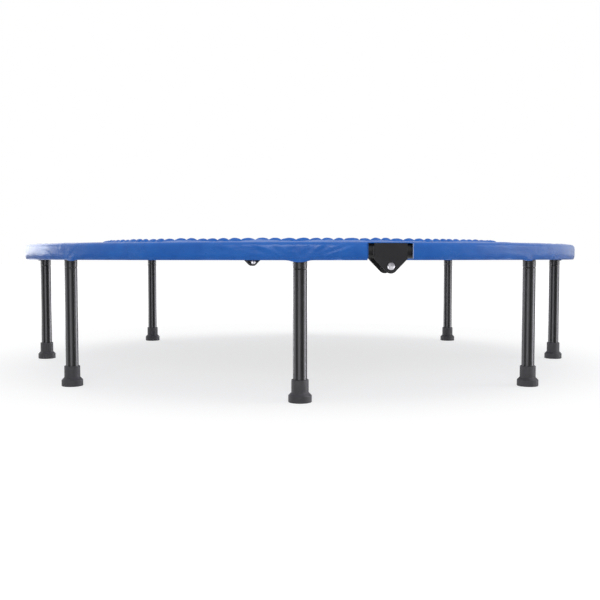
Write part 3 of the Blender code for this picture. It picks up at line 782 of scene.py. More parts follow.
for vert in bead.data.vertices:
    x, y = vert.co.x, vert.co.y + LEG_CIRCLE
    turn = math.atan2(y, x)
    swell = 1 + 0.16 * math.sin(30 * turn) + 0.08 * math.sin(7 * turn)
    ring = Vector((math.cos(turn), math.sin(turn), 0.0)) * WELD_CIRCLE
    spot = ring + (Vector((x, y, vert.co.z)) - ring) * swell
    vert.co = (spot.x, spot.y - LEG_CIRCLE, spot.z + saddle_height(ring.y) - 0.2 * MM)
coat(socket, powder_coat)
coat(bead, weld_paint)
socket = join([socket, bead], "socket")
smooth(socket, 40, weighted=True)
at_each_leg(socket, "socket", "leg_socket")

# %% [markdown]
# The thin dark ring in each leg's seam is a rubber washer. It is a flat disc with a hole, so the
# caps of a short cylinder are inset and their middles bridged.

# %% Leg washers
WASHER_RADIUS = 11.3 * MM
deselect_all()
bpy.ops.mesh.primitive_cylinder_add(
    vertices=40, radius=WASHER_RADIUS, depth=1.2 * MM, location=(0.0, -LEG_CIRCLE, SEAM_HEIGHT))
washer = fresh("washer")
edit(washer)
pick_faces(washer, lambda centre, normal: abs(normal.z) > 0.9)
bpy.ops.mesh.inset(thickness=WASHER_RADIUS - BORE_RADIUS)
pick_faces(washer, lambda centre, normal: abs(normal.z) > 0.9
           and (centre.xy - Vector((0.0, -LEG_CIRCLE))).length < 1 * MM)
bpy.ops.mesh.bridge_edge_loops()
recalculate(done(washer))
dress(washer, seam_rubber, 0.3 * MM, 50)
at_each_leg(washer, "seam_washer", "leg_washer", "washer")

# %% [markdown]
# A leg is a tube with a plug welded into its top and a threaded stud standing on it. The stud is
# a cylinder whose upright edges are subdivided into fine steps, and each corner is then moved in
# or out along a helix of 1.5 mm pitch, which gives a real screw thread that unwinds as the leg
# turns.

# %% Legs
THREAD_PITCH = 1.5 * MM
STUD_LENGTH = 15.5 * MM
LEG_BOTTOM = 5.3 * MM
leg_top = SEAM_HEIGHT - HALF_SEAM
deselect_all()
bpy.ops.mesh.primitive_cylinder_add(
    vertices=40, radius=LEG_RADIUS, depth=leg_top - LEG_BOTTOM,
    location=(0.0, -LEG_CIRCLE, (leg_top + LEG_BOTTOM) / 2))
leg = fresh("leg")
edit(leg)
pick_faces(leg, lambda centre, normal: normal.z > 0.9)
for inset, rise in ((1.6 * MM, -0.25 * MM), (0.4 * MM, 0.25 * MM)):
    bpy.ops.mesh.inset(thickness=inset)
    bpy.ops.mesh.extrude_region_move(TRANSFORM_OT_translate={"value": (0.0, 0.0, rise)})
done(leg)
round_edges(leg, 0.4 * MM, 2, 60)
coat(leg, powder_coat)
bpy.ops.mesh.primitive_cylinder_add(
    vertices=24, radius=5 * MM, depth=STUD_LENGTH,
    location=(0.0, -LEG_CIRCLE, leg_top + STUD_LENGTH / 2))
stud = fresh("stud")
edit(stud, "EDGE")
pick_edges(stud, lambda a, b: abs(a.z - b.z) > 1 * MM)
bpy.ops.mesh.subdivide(number_cuts=61)
done(stud)
for vert in stud.data.vertices:
    x, y, up = vert.co.x, vert.co.y + LEG_CIRCLE, vert.co.z - leg_top
    phase = (up / THREAD_PITCH - math.atan2(y, x) / (2 * math.pi)) % 1.0
    depth = 0.85 * MM * min(1.0, max(0.0, abs(2 * phase - 1) * 1.5 - 0.25))
    taper = 0.7 * MM * max(0.0, up / MM - 14.3) / 1.2
    scale = (4.95 * MM - max(depth, taper)) / math.hypot(x, y)
    vert.co.x, vert.co.y = x * scale, y * scale - LEG_CIRCLE
coat(stud, zinc)
leg = join([leg, stud], "leg")
smooth(leg, 40, weighted=True)
at_each_leg(leg, "leg", "leg_tube", "leg")

# %% [markdown]
# A rubber foot is a moulding: a wide base, a sloping shoulder and a collar that grips the leg.
# It is one profile spun round, with two grooves under the base for grip, and its edges are
# rounded by a Bevel modifier because rubber has no sharp ones.

# %% Rubber feet
foot_profile = [(radius * MM, height * MM) for radius, height in (
    (0.0, 0.6), (6.0, 0.6), (6.6, 0.0), (9.6, 0.0), (10.0, 0.9), (12.0, 0.9), (12.4, 0.0),
    (15.0, 0.0), (15.4, 0.9), (16.6, 0.9), (17.0, 0.0), (19.1, 0.0), (19.4, 0.6),
    (19.4, 10.9), (18.9, 11.6), (15.0, 15.6), (14.4, 16.4), (14.3, 36.4), (13.7, 37.2),
    (12.3, 37.4), (11.9, 36.6), (11.9, 5.0), (0.0, 5.0),
)]
foot = turned("foot", foot_profile, 48, (0.0, -LEG_CIRCLE))
dress(foot, foot_rubber, 0.5 * MM, 38, 45)
at_each_leg(foot, "foot", "leg_foot", "leg")

# %% [markdown]
# Each hinge has two pressed side plates. A plate starts as a thin block. Two bisects at 45
# degrees cut its lower corners, a bevel turns the point that is left into the round end about
# the pin, and a bore takes the bolt. The inner plate also loses its top corners, so that it can
# swing below the foam. A weld bead holds each plate to the tube of its own half.

# %% Hinge side plates
PLATE_HALF_WIDTH = 28.7 * MM
PLATE_END = 12.0 * MM
PLATE_THICKNESS = 1.8 * MM
OUTER_FACE = 608.0 * MM
INNER_FACE = 580.8 * MM
BOLT_HOLE = 4.35 * MM


def bore(name, radius, near, far):
    """A round cutter along the hinge bolt, between two distances from the centre."""
    bpy.ops.mesh.primitive_cylinder_add(
        vertices=40, radius=radius, depth=far - near, rotation=(RIGHT_ANGLE, 0.0, 0.0),
        location=(0.0, -(near + far) / 2, PIN_HEIGHT))
    return fresh(name)


def side_plate(name, near, top, corner=0.0):
    tip = PIN_HEIGHT - PLATE_END * math.sqrt(2)
    low = tip - 1 * MM
    bpy.ops.mesh.primitive_cube_add(
        size=1.0, location=(0.0, -(near + PLATE_THICKNESS / 2), (low + top) / 2),
        scale=(2 * PLATE_HALF_WIDTH, PLATE_THICKNESS, top - low))
    plate = fresh(name)
    edit(plate, "EDGE")
    cuts = [((0.0, 0.0, tip), (side, 0.0, -1.0)) for side in (-1, 1)]
    if corner:
        cuts += [((side * PLATE_HALF_WIDTH, 0.0, top - corner), (side, 0.0, 1.0))
                 for side in (-1, 1)]
    for point, normal in cuts:
        bpy.ops.mesh.select_all(action="SELECT")
        bpy.ops.mesh.bisect(plane_co=point, plane_no=normal, use_fill=True, clear_outer=True)
    pick_edges(plate, lambda a, b: max(a.z, b.z) < tip + 0.1 * MM)
    bpy.ops.mesh.bevel(offset=PLATE_END, segments=14, affect="EDGES")
    recalculate(done(plate))
    hole = bore("hole", BOLT_HOLE, near - 5 * MM, near + 5 * MM)
    carve(plate, hole)
    discard(hole)
    round_edges(plate, 0.45 * MM, 3, 40)
    return coat(plate, hinge_paint_shaded)


def weld_run(name, across, out, low, high):
    """A short upright weld bead with ripples."""
    bpy.ops.mesh.primitive_cylinder_add(
        vertices=10, radius=1.2 * MM, depth=high - low, location=(across, -out, (low + high) / 2))
    bead = fresh(name)
    edit(bead, "EDGE")
    pick_edges(bead, lambda a, b: abs(a.z - b.z) > 1 * MM)
    bpy.ops.mesh.subdivide(number_cuts=40)
    done(bead)
    for vert in bead.data.vertices:
        along = (vert.co.z - low) / (high - low)
        swell = (1 + 0.16 * math.sin(46 * along)) * math.sqrt(max(0.05, 1 - (2 * along - 1)**8))
        vert.co.x = across + (vert.co.x - across) * swell
        vert.co.y = -out + (vert.co.y + out) * swell
    return coat(bead, weld_paint)


deselect_all()
outer_plate = join([
    side_plate("outer_plate", OUTER_FACE, 259.7 * MM),
    weld_run("outer_bead", -PLATE_HALF_WIDTH - 0.5 * MM, 607.4 * MM, 240 * MM, 255 * MM),
], "outer_plate")
inner_plate = join([
    side_plate("inner_plate", INNER_FACE - PLATE_THICKNESS, 254.3 * MM, 8.2 * MM),
    weld_run("inner_bead", -PLATE_HALF_WIDTH + 0.5 * MM, 581.6 * MM, 236 * MM, 247 * MM),
], "inner_plate")
for side, plate in (("outer", outer_plate), ("inner", inner_plate)):
    smooth(plate, weighted=True)
    at_both_hinges(plate, f"plate_{side}")

# %% [markdown]
# The lug is the U of plate under the other tube end, and it swings between the side plates. A
# round boss and a block are united, a bisect cuts the block's lower corner, and cutters take out
# the slot between its cheeks, the bolt's hole and the saddle for the tube. The bush is a nylon
# spacer on the bolt inside it.

# %% Hinge lugs and bushes
MIDDLE = (OUTER_FACE + INNER_FACE) / 2
LUG_HALF = 12.0 * MM
LUG_WALL = 3 * MM
BOSS_RADIUS = 9.8 * MM
deselect_all()
lug = bore("lug", BOSS_RADIUS, MIDDLE - LUG_HALF, MIDDLE + LUG_HALF)
bpy.ops.mesh.primitive_cube_add(
    size=1.0, location=(13.5 * MM, -MIDDLE, PIN_HEIGHT + 4.1 * MM),
    scale=(25 * MM, 2 * LUG_HALF, 27.8 * MM))
block = fresh("lug_block")
carve(lug, block, "UNION")
reach = BOSS_RADIUS / math.sqrt(2)
edit(lug, everything=True)
bpy.ops.mesh.bisect(plane_co=(reach, 0.0, PIN_HEIGHT - reach), plane_no=(1.0, 0.0, -1.0),
                    use_fill=True, clear_outer=True)
done(lug)
bpy.ops.mesh.primitive_cube_add(
    size=1.0, location=(0.0, -MIDDLE, PIN_HEIGHT + 9.5 * MM - 30 * MM),
    scale=(80 * MM, 2 * (LUG_HALF - LUG_WALL), 60 * MM))
slot_cutter = fresh("slot_cutter")
hole = bore("hole", BOLT_HOLE, MIDDLE - 30 * MM, MIDDLE + 30 * MM)
bpy.ops.mesh.primitive_torus_add(
    major_radius=LEG_CIRCLE, minor_radius=TUBE_RADIUS - 0.1 * MM, major_segments=192,
    minor_segments=36, location=(0.0, 0.0, TUBE_HEIGHT))
tube_cutter = fresh("tube_cutter")
for cutter in (slot_cutter, hole, tube_cutter):
    carve(lug, cutter)
discard(block, slot_cutter, hole, tube_cutter)
dress(lug, hinge_paint_shaded, 0.4 * MM)
bush_low, bush_high = MIDDLE - 8.7 * MM, MIDDLE + 8.7 * MM
bush = lay_along_bolt(turned("bush", [
    (4.4 * MM, bush_low), (7 * MM, bush_low), (7 * MM, bush_high), (4.4 * MM, bush_high)], 32))
dress(bush, nylon, 0.5 * MM, 50)
at_both_hinges(lug, "lug", on_lug_half=True)
at_both_hinges(bush, "bush", on_lug_half=True)

# %% [markdown]
# The bolt shows as a low bright dome on the front plate, and at the inner end sits a domed nut.
# The bolt is turned from one profile. The nut is a six-sided prism, cut to a turned profile so
# that its corners are chamfered, with a turned dome on it.

# %% Bolts and domed nuts
GAP = 0.3 * MM
seat = OUTER_FACE + PLATE_THICKNESS + GAP
nut_seat = INNER_FACE - PLATE_THICKNESS - GAP


def dome(radius, rise, base, low_deg, direction=1, steps=9):
    """Profile points up a dome, from its edge to the axis."""
    points = []
    for k in range(steps + 1):
        turn = math.radians(low_deg + (90 - low_deg) * k / steps)
        points.append((radius * math.cos(turn), base + direction * rise * math.sin(turn)))
    points[-1] = (0.0, points[-1][1])
    return points


deselect_all()
bolt = lay_along_bolt(turned("bolt", [
    (0.0, nut_seat - 6.8 * MM), (4 * MM, nut_seat - 6.8 * MM), (4 * MM, seat),
    (6.2 * MM, seat), *dome(6.5 * MM, 3.4 * MM, seat, 10)]))
bpy.ops.mesh.primitive_cylinder_add(
    vertices=6, radius=13 * MM / math.sqrt(3), depth=7 * MM,
    location=(0.0, 0.0, nut_seat - 3.5 * MM), rotation=(0.0, 0.0, math.radians(30)))
nut = fresh("nut")
chamfers = turned("chamfers", [
    (0.0, nut_seat), (6.7 * MM, nut_seat), (7.6 * MM, nut_seat - 0.5 * MM),
    (7.6 * MM, nut_seat - 6.2 * MM), (6.3 * MM, nut_seat - 7 * MM), (0.0, nut_seat - 7 * MM)])
carve(nut, chamfers, "INTERSECT")
cap = turned("nut_cap", [
    (0.0, nut_seat - 6.6 * MM), (5.7 * MM, nut_seat - 6.6 * MM), (5.7 * MM, nut_seat - 8 * MM),
    *dome(5.7 * MM, 4.5 * MM, nut_seat - 8 * MM, 12, -1)])
nut = lay_along_bolt(join([nut, cap], "nut"))
discard(chamfers)
for piece in (bolt, nut):
    round_edges(piece, 0.2 * MM, 2, 40)
    coat(piece, chrome)
    smooth(piece, 30, weighted=True)
    at_both_hinges(piece, piece.name)

# %% [markdown]
# The mat is one round woven sheet. It starts as a disc whose face is inset ring by ring, which
# gives it the rings of corners that it needs to bend, and a Solidify modifier makes it cloth of
# real thickness. The fold line crosses it.

# %% Jumping mat
MAT_EDGE = 468.6 * MM
fold_normal = Vector((math.cos(FOLD_TURN), math.sin(FOLD_TURN), 0.0))


def stand_across_fold(piece, slot, *nodes):
    """Hide the solids that a finished cloth piece stands for, and put its place into its mesh."""
    if nodes:
        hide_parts(*nodes)
    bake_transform(piece)
    return piece


deselect_all()
bpy.ops.mesh.primitive_circle_add(
    vertices=240, radius=MAT_EDGE, fill_type="NGON", location=(0.0, 0.0, TUBE_HEIGHT))
mat = fresh("mat")
edit(mat, everything=True)
for ring in range(38):
    bpy.ops.mesh.inset(thickness=12 * MM)
bpy.ops.mesh.poke()
done(mat)
for vert in mat.data.vertices:
    vert.co.z += 0.25 * MM * noise.noise(Vector((vert.co.x * 9, vert.co.y * 9, 3.1)))
apply_modifier(mat, "SOLIDIFY", thickness=1.4 * MM, offset=0.0)
coat(mat, mat_weave)
smooth(mat, 40)
print("mat of", triangles(mat), "triangles")

# %% [markdown]
# The hem is webbing folded round the mat's edge and sewn through. Its section is a U, spun right
# round, so that the mat's edge lies inside it. The sewing is rows of small stitches, each a
# little lump of thread: one is shaped from a cylinder, and its corners are repeated round the
# ring in code, because there are over two thousand.

# %% Hem and stitches
def stitch_rows(name, places, length, width, material):
    """Stitches at (point, direction along, direction up), in one piece."""
    bpy.ops.mesh.primitive_cylinder_add(vertices=6, radius=width / 2, depth=length,
                                        rotation=(0.0, RIGHT_ANGLE, 0.0))
    one = fresh("stitch")
    edit(one)
    pick_faces(one, lambda centre, normal: abs(normal.x) > 0.9)
    bpy.ops.mesh.inset(thickness=width * 0.18)
    done(one)
    for vert in one.data.vertices:
        if math.hypot(vert.co.y, vert.co.z) < width * 0.45:
            vert.co.x *= 1.25
    corners = np.array([vert.co for vert in one.data.vertices])
    sides = [list(face.vertices) for face in one.data.polygons]
    discard(one)
    points, faces = [], []
    for place, along, up in places:
        along = along.normalized()
        across = up.cross(along).normalized()
        axes = np.array([along, across, along.cross(across)])
        faces += [[index + len(points) for index in side] for side in sides]
        points += (corners @ axes + np.array(place)).tolist()
    mesh = bpy.data.meshes.new(name)
    mesh.from_pydata(points, [], faces)
    piece = bpy.data.objects.new(name, mesh)
    bpy.context.scene.collection.objects.link(piece)
    coat(piece, material)
    smooth(piece, 60)
    return piece


def ring_places(radius, height, pitch, up):
    """Places for stitches round a circle."""
    count = int(2 * math.pi * radius / pitch)
    turns = [2 * math.pi * k / count for k in range(count)]
    return [(round_the_ring(radius, turn, height),
             Vector((math.cos(turn), math.sin(turn), 0.0)), up) for turn in turns]


deselect_all()
hem = turned("hem", [(radius * MM, TUBE_HEIGHT + height * MM) for radius, height in (
    (445.0, 0.72), (445.2, 1.2), (446.0, 1.3), (468.8, 1.3), (469.8, 0.8), (470.0, 0.0),
    (469.8, -0.8), (468.8, -1.3), (446.0, -1.3), (445.2, -1.2), (445.0, -0.72),
    (468.8, -0.72), (468.8, 0.72))], 360)
coat(hem, webbing)
smooth(hem, 40)
rows = []
for radius in (448.5, 459.5):
    for side in (1, -1):
        rows += ring_places(radius * MM, TUBE_HEIGHT + side * 1.35 * MM, 5.2 * MM,
                            Vector((0.0, 0.0, side)))
hem_stitches = stitch_rows("hem_stitches", rows, 3.4 * MM, 0.8 * MM, thread)
print("hem of", triangles(hem), "triangles,", len(rows), "stitches")

# %% [markdown]
# Thirty-six coil springs hold the mat in the ring. A coil is a small circle swept by a Screw
# modifier. Its two hooks and the triangular ring that joins it to the mat are bent wire, drawn
# as smooth lines with a round section. The hook on the ring's side drops into its collar, and
# the triangular ring is held by a tab of webbing that is sewn to the hem.

# %% Springs, triangular rings and tabs
WIRE = 1.05 * MM
COIL = 6.35 * MM


def eased(points, closed=False, per_span=4):
    """Smooth points through a list of corners, by Catmull-Rom spans."""
    corners = [Vector(p) * MM for p in points]
    count = len(corners)
    spans = range(count if closed else count - 1)
    line = []
    for k in spans:
        if closed:
            a, b, c, d = (corners[(k + i) % count] for i in (-1, 0, 1, 2))
        else:
            a, b, c, d = (corners[min(max(k + i, 0), count - 1)] for i in (-1, 0, 1, 2))
        for step in range(per_span):
            t = step / per_span
            line.append(0.5 * (2 * b + (c - a) * t + (2 * a - 5 * b + 4 * c - d) * t**2
                               + (3 * b - a - 3 * c + d) * t**3))
    return line if closed else [*line, corners[-1]]


def bent_wire(name, points, radius=WIRE, closed=False):
    line = bpy.data.curves.new(name, "CURVE")
    line.dimensions = "3D"
    line.bevel_depth = radius
    line.bevel_resolution = 1
    line.use_fill_caps = True
    spline = line.splines.new("POLY")
    spline.points.add(len(points) - 1)
    for spot, point in zip(spline.points, points):
        spot.co = (*point, 1.0)
    spline.use_cyclic_u = closed
    piece = bpy.data.objects.new(name, line)
    bpy.context.scene.collection.objects.link(piece)
    take(piece)
    bpy.ops.object.convert(target="MESH")
    return bpy.context.object


deselect_all()
bpy.ops.mesh.primitive_circle_add(
    vertices=6, radius=WIRE, fill_type="NOTHING", location=(COIL, 0.0, 490.6 * MM),
    rotation=(RIGHT_ANGLE, 0.0, 0.0))
coil = fresh("coil")
apply_modifier(coil, "SCREW", angle=2 * math.pi, screw_offset=2.98 * MM, iterations=25,
               steps=11, render_steps=11, axis="Z", use_merge_vertices=False)
edit(coil, "VERT")
bpy.ops.mesh.select_non_manifold()
bpy.ops.mesh.fill_holes(sides=0)
done(coil)
recalculate(coil)
hook_out = bent_wire("hook_out", eased([
    (6.35, 0, 565.0), (5.2, 2.6, 566.4), (2.2, 3.0, 568.6), (0.3, 1.2, 571.2), (0, 0.6, 575.0),
    (0, 3.2, 579.2), (0, 8.0, 580.8), (0, 10.2, 583.0), (0, 8.9, 585.0), (0, 5.8, 586.8)]))
hook_in = bent_wire("hook_in", eased([
    (6.35, 0, 490.6), (5.0, -2.4, 489.4), (1.8, -3.0, 487.8), (0, -3.1, 485.6),
    (0, -2.6, 483.0), (0, -0.3, 481.7), (0, 2.3, 482.6), (0, 3.1, 485.0)]))
triangle = bent_wire("triangle", eased([
    (0, 0, 486.0), (1.6, 0, 484.5), (8.3, 0, 470.0), (9.3, 0, 467.7), (7.8, 0, 466.7),
    (-7.8, 0, 466.7), (-9.3, 0, 467.7), (-8.3, 0, 470.0), (-1.6, 0, 484.5)], True), 1.25 * MM,
    True)
tab_line = eased([
    (0, 1.75, 447.0), (0, 1.8, 453.0), (0, 1.8, 460.0), (0, 1.9, 465.0), (0, 1.6, 468.4),
    (0, 0.0, 469.4), (0, -1.6, 468.4), (0, -1.9, 465.0), (0, -1.8, 460.0), (0, -1.8, 453.0),
    (0, -1.75, 447.0)], False, 2)
bpy.ops.mesh.primitive_grid_add(x_subdivisions=4, y_subdivisions=len(tab_line) - 1, size=1.0)
tab = fresh("tab")
for vert in tab.data.vertices:
    spot = tab_line[round((vert.co.y + 0.5) * (len(tab_line) - 1))]
    vert.co = (vert.co.x * 14.5 * MM, spot.y, spot.z)
apply_modifier(tab, "SOLIDIFY", thickness=0.7 * MM, offset=0.0)
round_edges(tab, 0.2 * MM, 1, 60)
upright = Matrix.Translation((0.0, 0.0, TUBE_HEIGHT)) @ Matrix.Rotation(RIGHT_ANGLE, 4, "X")
for piece in (coil, hook_out, hook_in, triangle, tab):
    coat(piece, webbing if piece is tab else zinc)
    piece.data.transform(upright)
one_set = join([coil, hook_out, hook_in, triangle, tab], "spring_set")
recalculate(one_set)
smooth(one_set, 50)
half_set = join([again(one_set, f"set_{k}", turn) for k, turn in enumerate(spring_turns)],
                "springs")
discard(one_set)
on_both_halves(half_set, "springs", "spring_band")
stand_across_fold(hem, "mat_weave")
stand_across_fold(hem_stitches, "mat_weave")
stand_across_fold(mat, "mat_weave", "mat_left", "mat_right")
print("mat sheet of", round(math.pi * MAT_EDGE**2, 4), "square metres")

# %% [markdown]
# The cover is one soft ring of coated cloth over foam. Its section runs from the hem up the
# skirt, round the rim, across the top to the gathered inner edge, back under the foam and down
# the skirt's inner face. The elastic in the inner edge gathers it into uneven lobes.

# %% Section and gathers of the cover
SKIRT = 610.0
HEM = 232.1
COVER_TOP = 262.9
RIM_RADIUS = 8.0
ELASTIC = 446.0
rng = random.Random(4)
lobe_edges = [0.0]
while lobe_edges[-1] < 2 * math.pi:
    lobe_edges.append(lobe_edges[-1] + rng.choice((19, 21, 22, 24, 25, 27, 29)) / 440.0)
lobe_edges = [edge * 2 * math.pi / lobe_edges[-1] for edge in lobe_edges]
lobe_backs = [rng.uniform(0.84, 1.0) for _ in lobe_edges]


def cover_section():
    """Points of the section in mm, each with the name of its stretch, its radius and height."""
    fall = (HEM, 234.8, 239.0, 244.5, 250.0)
    rim_turns = [math.radians(turn) for turn in (0, 22.5, 45, 67.5, 90)]
    across = (593, 578, 562, 546, 530, 514, 500, 486, 474, 464, 456, 451, 447.5, 444)
    crown = ([443, 445.5, 448.5, 451.5, 454.5, 460, 473, 490, 505, 530, 560, 590, 602],
             [273.3, 272.1, 269.8, 268.2, 267.4, 266.9, 266.5, 266.2, 265.9, 265.3, 264.5,
              263.5, COVER_TOP])
    stretches = {
        "skirt": [(SKIRT, height) for height in fall],
        "rim": [(SKIRT - RIM_RADIUS * (1 - math.cos(turn)),
                 COVER_TOP - RIM_RADIUS * (1 - math.sin(turn))) for turn in rim_turns],
        "top": [(radius, float(np.interp(radius, *crown))) for radius in across],
        "nose": [(440.8, 273.2), (437.9, 271.4), (436.8, 267.4), (437.1, 262.5),
                 (438.7, 258.0), (442.0, 254.0), (447.0, 252.0)],
        "under": [(456.0, 252.8), (469.0, 255.0), (482.0, 257.2), (508.0, 258.8),
                  (540.0, 260.2), (572.0, 261.2), (598.0, 260.6)],
        "lining": [(605.5, 259.5), (607.5, 257.2), (608.2, 254.4),
                   *((608.4, height) for height in reversed(fall))],
    }
    return [(stretch, *point) for stretch, points in stretches.items() for point in points]


def lobe_at(angle, width=1.0):
    """How high a gather stands at an angle, from 0 in a crease to about 1 on its back."""
    angle %= 2 * math.pi
    k = int(np.searchsorted(lobe_edges, angle, "right")) - 1
    k = min(k, len(lobe_edges) - 2)
    phase = (angle - lobe_edges[k]) / (lobe_edges[k + 1] - lobe_edges[k])
    return lobe_backs[k] * math.sin(math.pi * phase)**(0.52 * width)


section = cover_section()
row_count = len(section)
print("a section of", row_count, "points and", len(lobe_edges) - 1, "gathers")

# %% [markdown]
# A flat grid is laid round the ring: its columns become stations and its rows become points of
# the section. Stations fall on the creases, four steps over each gather's back, and on the edges
# of the hinges' notches. Creases run outwards and fade, and the hem hangs a little lower where
# it passes a leg.

# %% Cover laid out in cloth
NOTCH_SIDE = 39.5
STATION_GAP = 2.2
FOLD_OFFSETS = (0.0, 1.2, 3.5, NOTCH_SIDE - STATION_GAP, NOTCH_SIDE, NOTCH_SIDE + STATION_GAP)
DIPS = ((0.0, 3.3), (42.8, 1.8), (90.0, 3.3), (137.2, 1.8), (180.0, 3.3))
DIP_REACH = 15.5
DIP_SLOPE = 6.0
DIP_START = 250.0
TUCK = 2.4
TUCK_START = 239.0


def cover_stations():
    """Angles of the grid's columns, counted from the fold line."""
    fixed = [end + side * offset / SKIRT for end in (0.0, math.pi, 2 * math.pi)
             for offset in FOLD_OFFSETS for side in (-1, 1)]
    free = []
    for one, two in zip(lobe_edges, lobe_edges[1:]):
        free += [one + (two - one) * k / 4 for k in range(4)]
    free = [angle for angle in free
            if min(abs(angle - spot) for spot in fixed) * SKIRT > STATION_GAP]
    kept = {round(angle, 6) for angle in fixed if -1e-6 < angle < 2 * math.pi + 1e-6}
    return sorted(kept | set(free))


def rough(x, y, z):
    """Smooth noise at a place, from about -1 to 1."""
    return noise.noise(Vector((x, y, z)))


def hem_dip(angle):
    """1 where the hem passes a leg and 0 away from it, and how deep it hangs there."""
    turn = (angle + FOLD_TURN) % math.pi
    away, depth = min((abs(turn - math.radians(dip)) * SKIRT, depth) for dip, depth in DIPS)
    t = min(max((DIP_REACH - away) / DIP_SLOPE, 0.0), 1.0)
    return t * t * (3 - 2 * t), depth


def cover_point(angle, row):
    """A corner of the cover's grid, with its gather, its swell and its hem."""
    stretch, radius, height = section[row]
    beyond = max(0.0, radius - ELASTIC)
    crease = 1 - lobe_at(angle, 1 + beyond / 90)
    pucker = math.exp(-beyond / 55) if radius < 600 else 0.0
    if stretch == "under":
        pucker *= 0.35
    if stretch == "top":
        fold = rough(math.cos(angle) * 9, math.sin(angle) * 9, radius / 160)
        height -= 2.2 * math.sin(math.pi * (radius - 440) / 170)
        height += 2.2 * fold * math.exp(-((radius - 495) / 45)**2)
    radius += 3.0 * crease * pucker
    height -= 3.6 * crease * pucker
    if stretch in ("skirt", "lining"):
        share, depth = hem_dip(angle)
        height -= share * depth * max(0.0, DIP_START - height) / (DIP_START - HEM)
        tuck = max(0.0, (TUCK_START - height) / (TUCK_START - HEM))**1.5
        radius -= TUCK * tuck * (1 - share)
    return round_the_ring(radius * MM, angle + FOLD_TURN, height * MM)


deselect_all()
stations = cover_stations()
station_count = len(stations) - 1
bpy.ops.mesh.primitive_grid_add(x_subdivisions=station_count, y_subdivisions=row_count, size=1.0)
cover = fresh("cover")
lengths = [0.0]
for one, two in zip(section, [*section[1:], section[0]]):
    lengths.append(lengths[-1] + math.dist(one[1:], two[1:]) * MM)
for spot in cover.data.uv_layers[0].data:
    column, row = round(spot.uv.x * station_count), round(spot.uv.y * row_count)
    spot.uv = (stations[column] * SKIRT * MM, lengths[row])
for vert in cover.data.vertices:
    column = round((vert.co.x + 0.5) * station_count)
    row = round((vert.co.y + 0.5) * row_count)
    vert.co = cover_point(stations[column], row % row_count)
edit(cover, "VERT", everything=True)
bpy.ops.mesh.remove_doubles(threshold=0.00001)
done(cover)
print("cover grid of", station_count, "stations and", row_count, "rows")

# %% [markdown]
# The notches: the faces of the skirt between two stations at each hinge go, and the gap between
# the outer cloth and the lining is closed along the notch's three sides, except for the lowest
# 3 mm, where the hem is tucked in. What stays above is the strip of blue over the hinge plates.

# %% Notches at the hinges
NOTCH_TOP = 260.3
NOTCH_DEPTH = 605.7


def along_fold(point):
    """The distance from the fold line, and which end of it, the front or the back."""
    turned_back = Matrix.Rotation(-FOLD_TURN, 3, "Z") @ point
    return turned_back.x / MM, -1 if turned_back.y < 0 else 1


def in_notch(point):
    return (abs(along_fold(point)[0]) < NOTCH_SIDE - 0.1 and point.z < NOTCH_TOP * MM
            and math.hypot(point.x, point.y) > NOTCH_DEPTH * MM)


def is_hem(edge):
    """Whether an edge is the hem's own, which joins the two cloths and gets no wall."""
    heights = [vert.co.z / MM for vert in edge.verts]
    return max(heights) - min(heights) < 0.6 and max(heights) < 240


def middle_of(edge):
    return (edge.verts[0].co + edge.verts[1].co) / 2


def is_outer(edge):
    """Whether an edge above the tucked hem is on the outer cloth. Both lean in to the rim."""
    middle = middle_of(edge) / MM
    between = 608.9 if middle.z < 255 else 606.6 + (260 - middle.z) * 0.32
    return math.hypot(middle.x, middle.y) > between


def wall_up(mesh, end):
    """Close the gap between the outer cloth and the lining along one notch's sides."""
    sides = [edge for edge in mesh.edges if edge.is_boundary and not is_hem(edge)
             and along_fold(edge.verts[0].co)[1] == end]
    outer = [edge for edge in sides if is_outer(edge)]
    inner = [edge for edge in sides if not is_outer(edge)]
    for edge in outer:
        twin = min(inner, key=lambda other: (middle_of(other) - middle_of(edge)).length)
        a, b = edge.verts
        c, d = sorted(twin.verts, key=lambda vert: (vert.co - a.co).length)
        mesh.faces.new((a, b, d, c))
    print("notch walls of", len(outer), "faces")


mesh = bmesh.new()
mesh.from_mesh(cover.data)
gone = [face for face in mesh.faces if in_notch(face.calc_center_median())]
bmesh.ops.delete(mesh, geom=gone, context="FACES")
for end in (-1, 1):
    wall_up(mesh, end)
print("notches take", len(gone), "faces, and edges left open:",
      sum(not edge.is_manifold for edge in mesh.edges))
bmesh.ops.recalc_face_normals(mesh, faces=mesh.faces)
mesh.to_mesh(cover.data)
mesh.free()

# %% [markdown]
# The foam pushes the cloth up between the rim and the elastic. A cloth simulation with a little
# pressure and a little spare cloth gives the top its soft, uneven swell: skirt, rim, lining and
# underside are pinned, the elastic edge is held softly, and how far a point may move is capped.

# %% Cloth simulation of the cover's top
CLOTH_FRAMES = 20
CLOTH_CAP = 4.5 * MM
CLOTH_SETTINGS = {
    "quality": 4, "vertex_group_mass": "held", "vertex_group_shrink": "slack",
    "shrink_min": 0.0, "shrink_max": -0.05, "use_pressure": True,
    "uniform_pressure_force": 4.0, "bending_stiffness": 0.3,
}


def hold_cloth(vert, held, slack):
    """How hard a point is held, and whether its cloth has any to spare."""
    radius = math.hypot(vert.co.x, vert.co.y) / MM
    on_top = radius < 598 and vert.co.z / MM > 262.5 - 2.0 * (radius < ELASTIC)
    grip = float(np.interp(radius, [441, 450, 462, 575, 592, 598],
                           [0.85, 0.4, 0.0, 0.0, 0.5, 1.0])) if on_top else 1.0
    held.add([vert.index], grip, "REPLACE")
    slack.add([vert.index], 1.0 if on_top and 448 < radius < 590 else 0.0, "REPLACE")


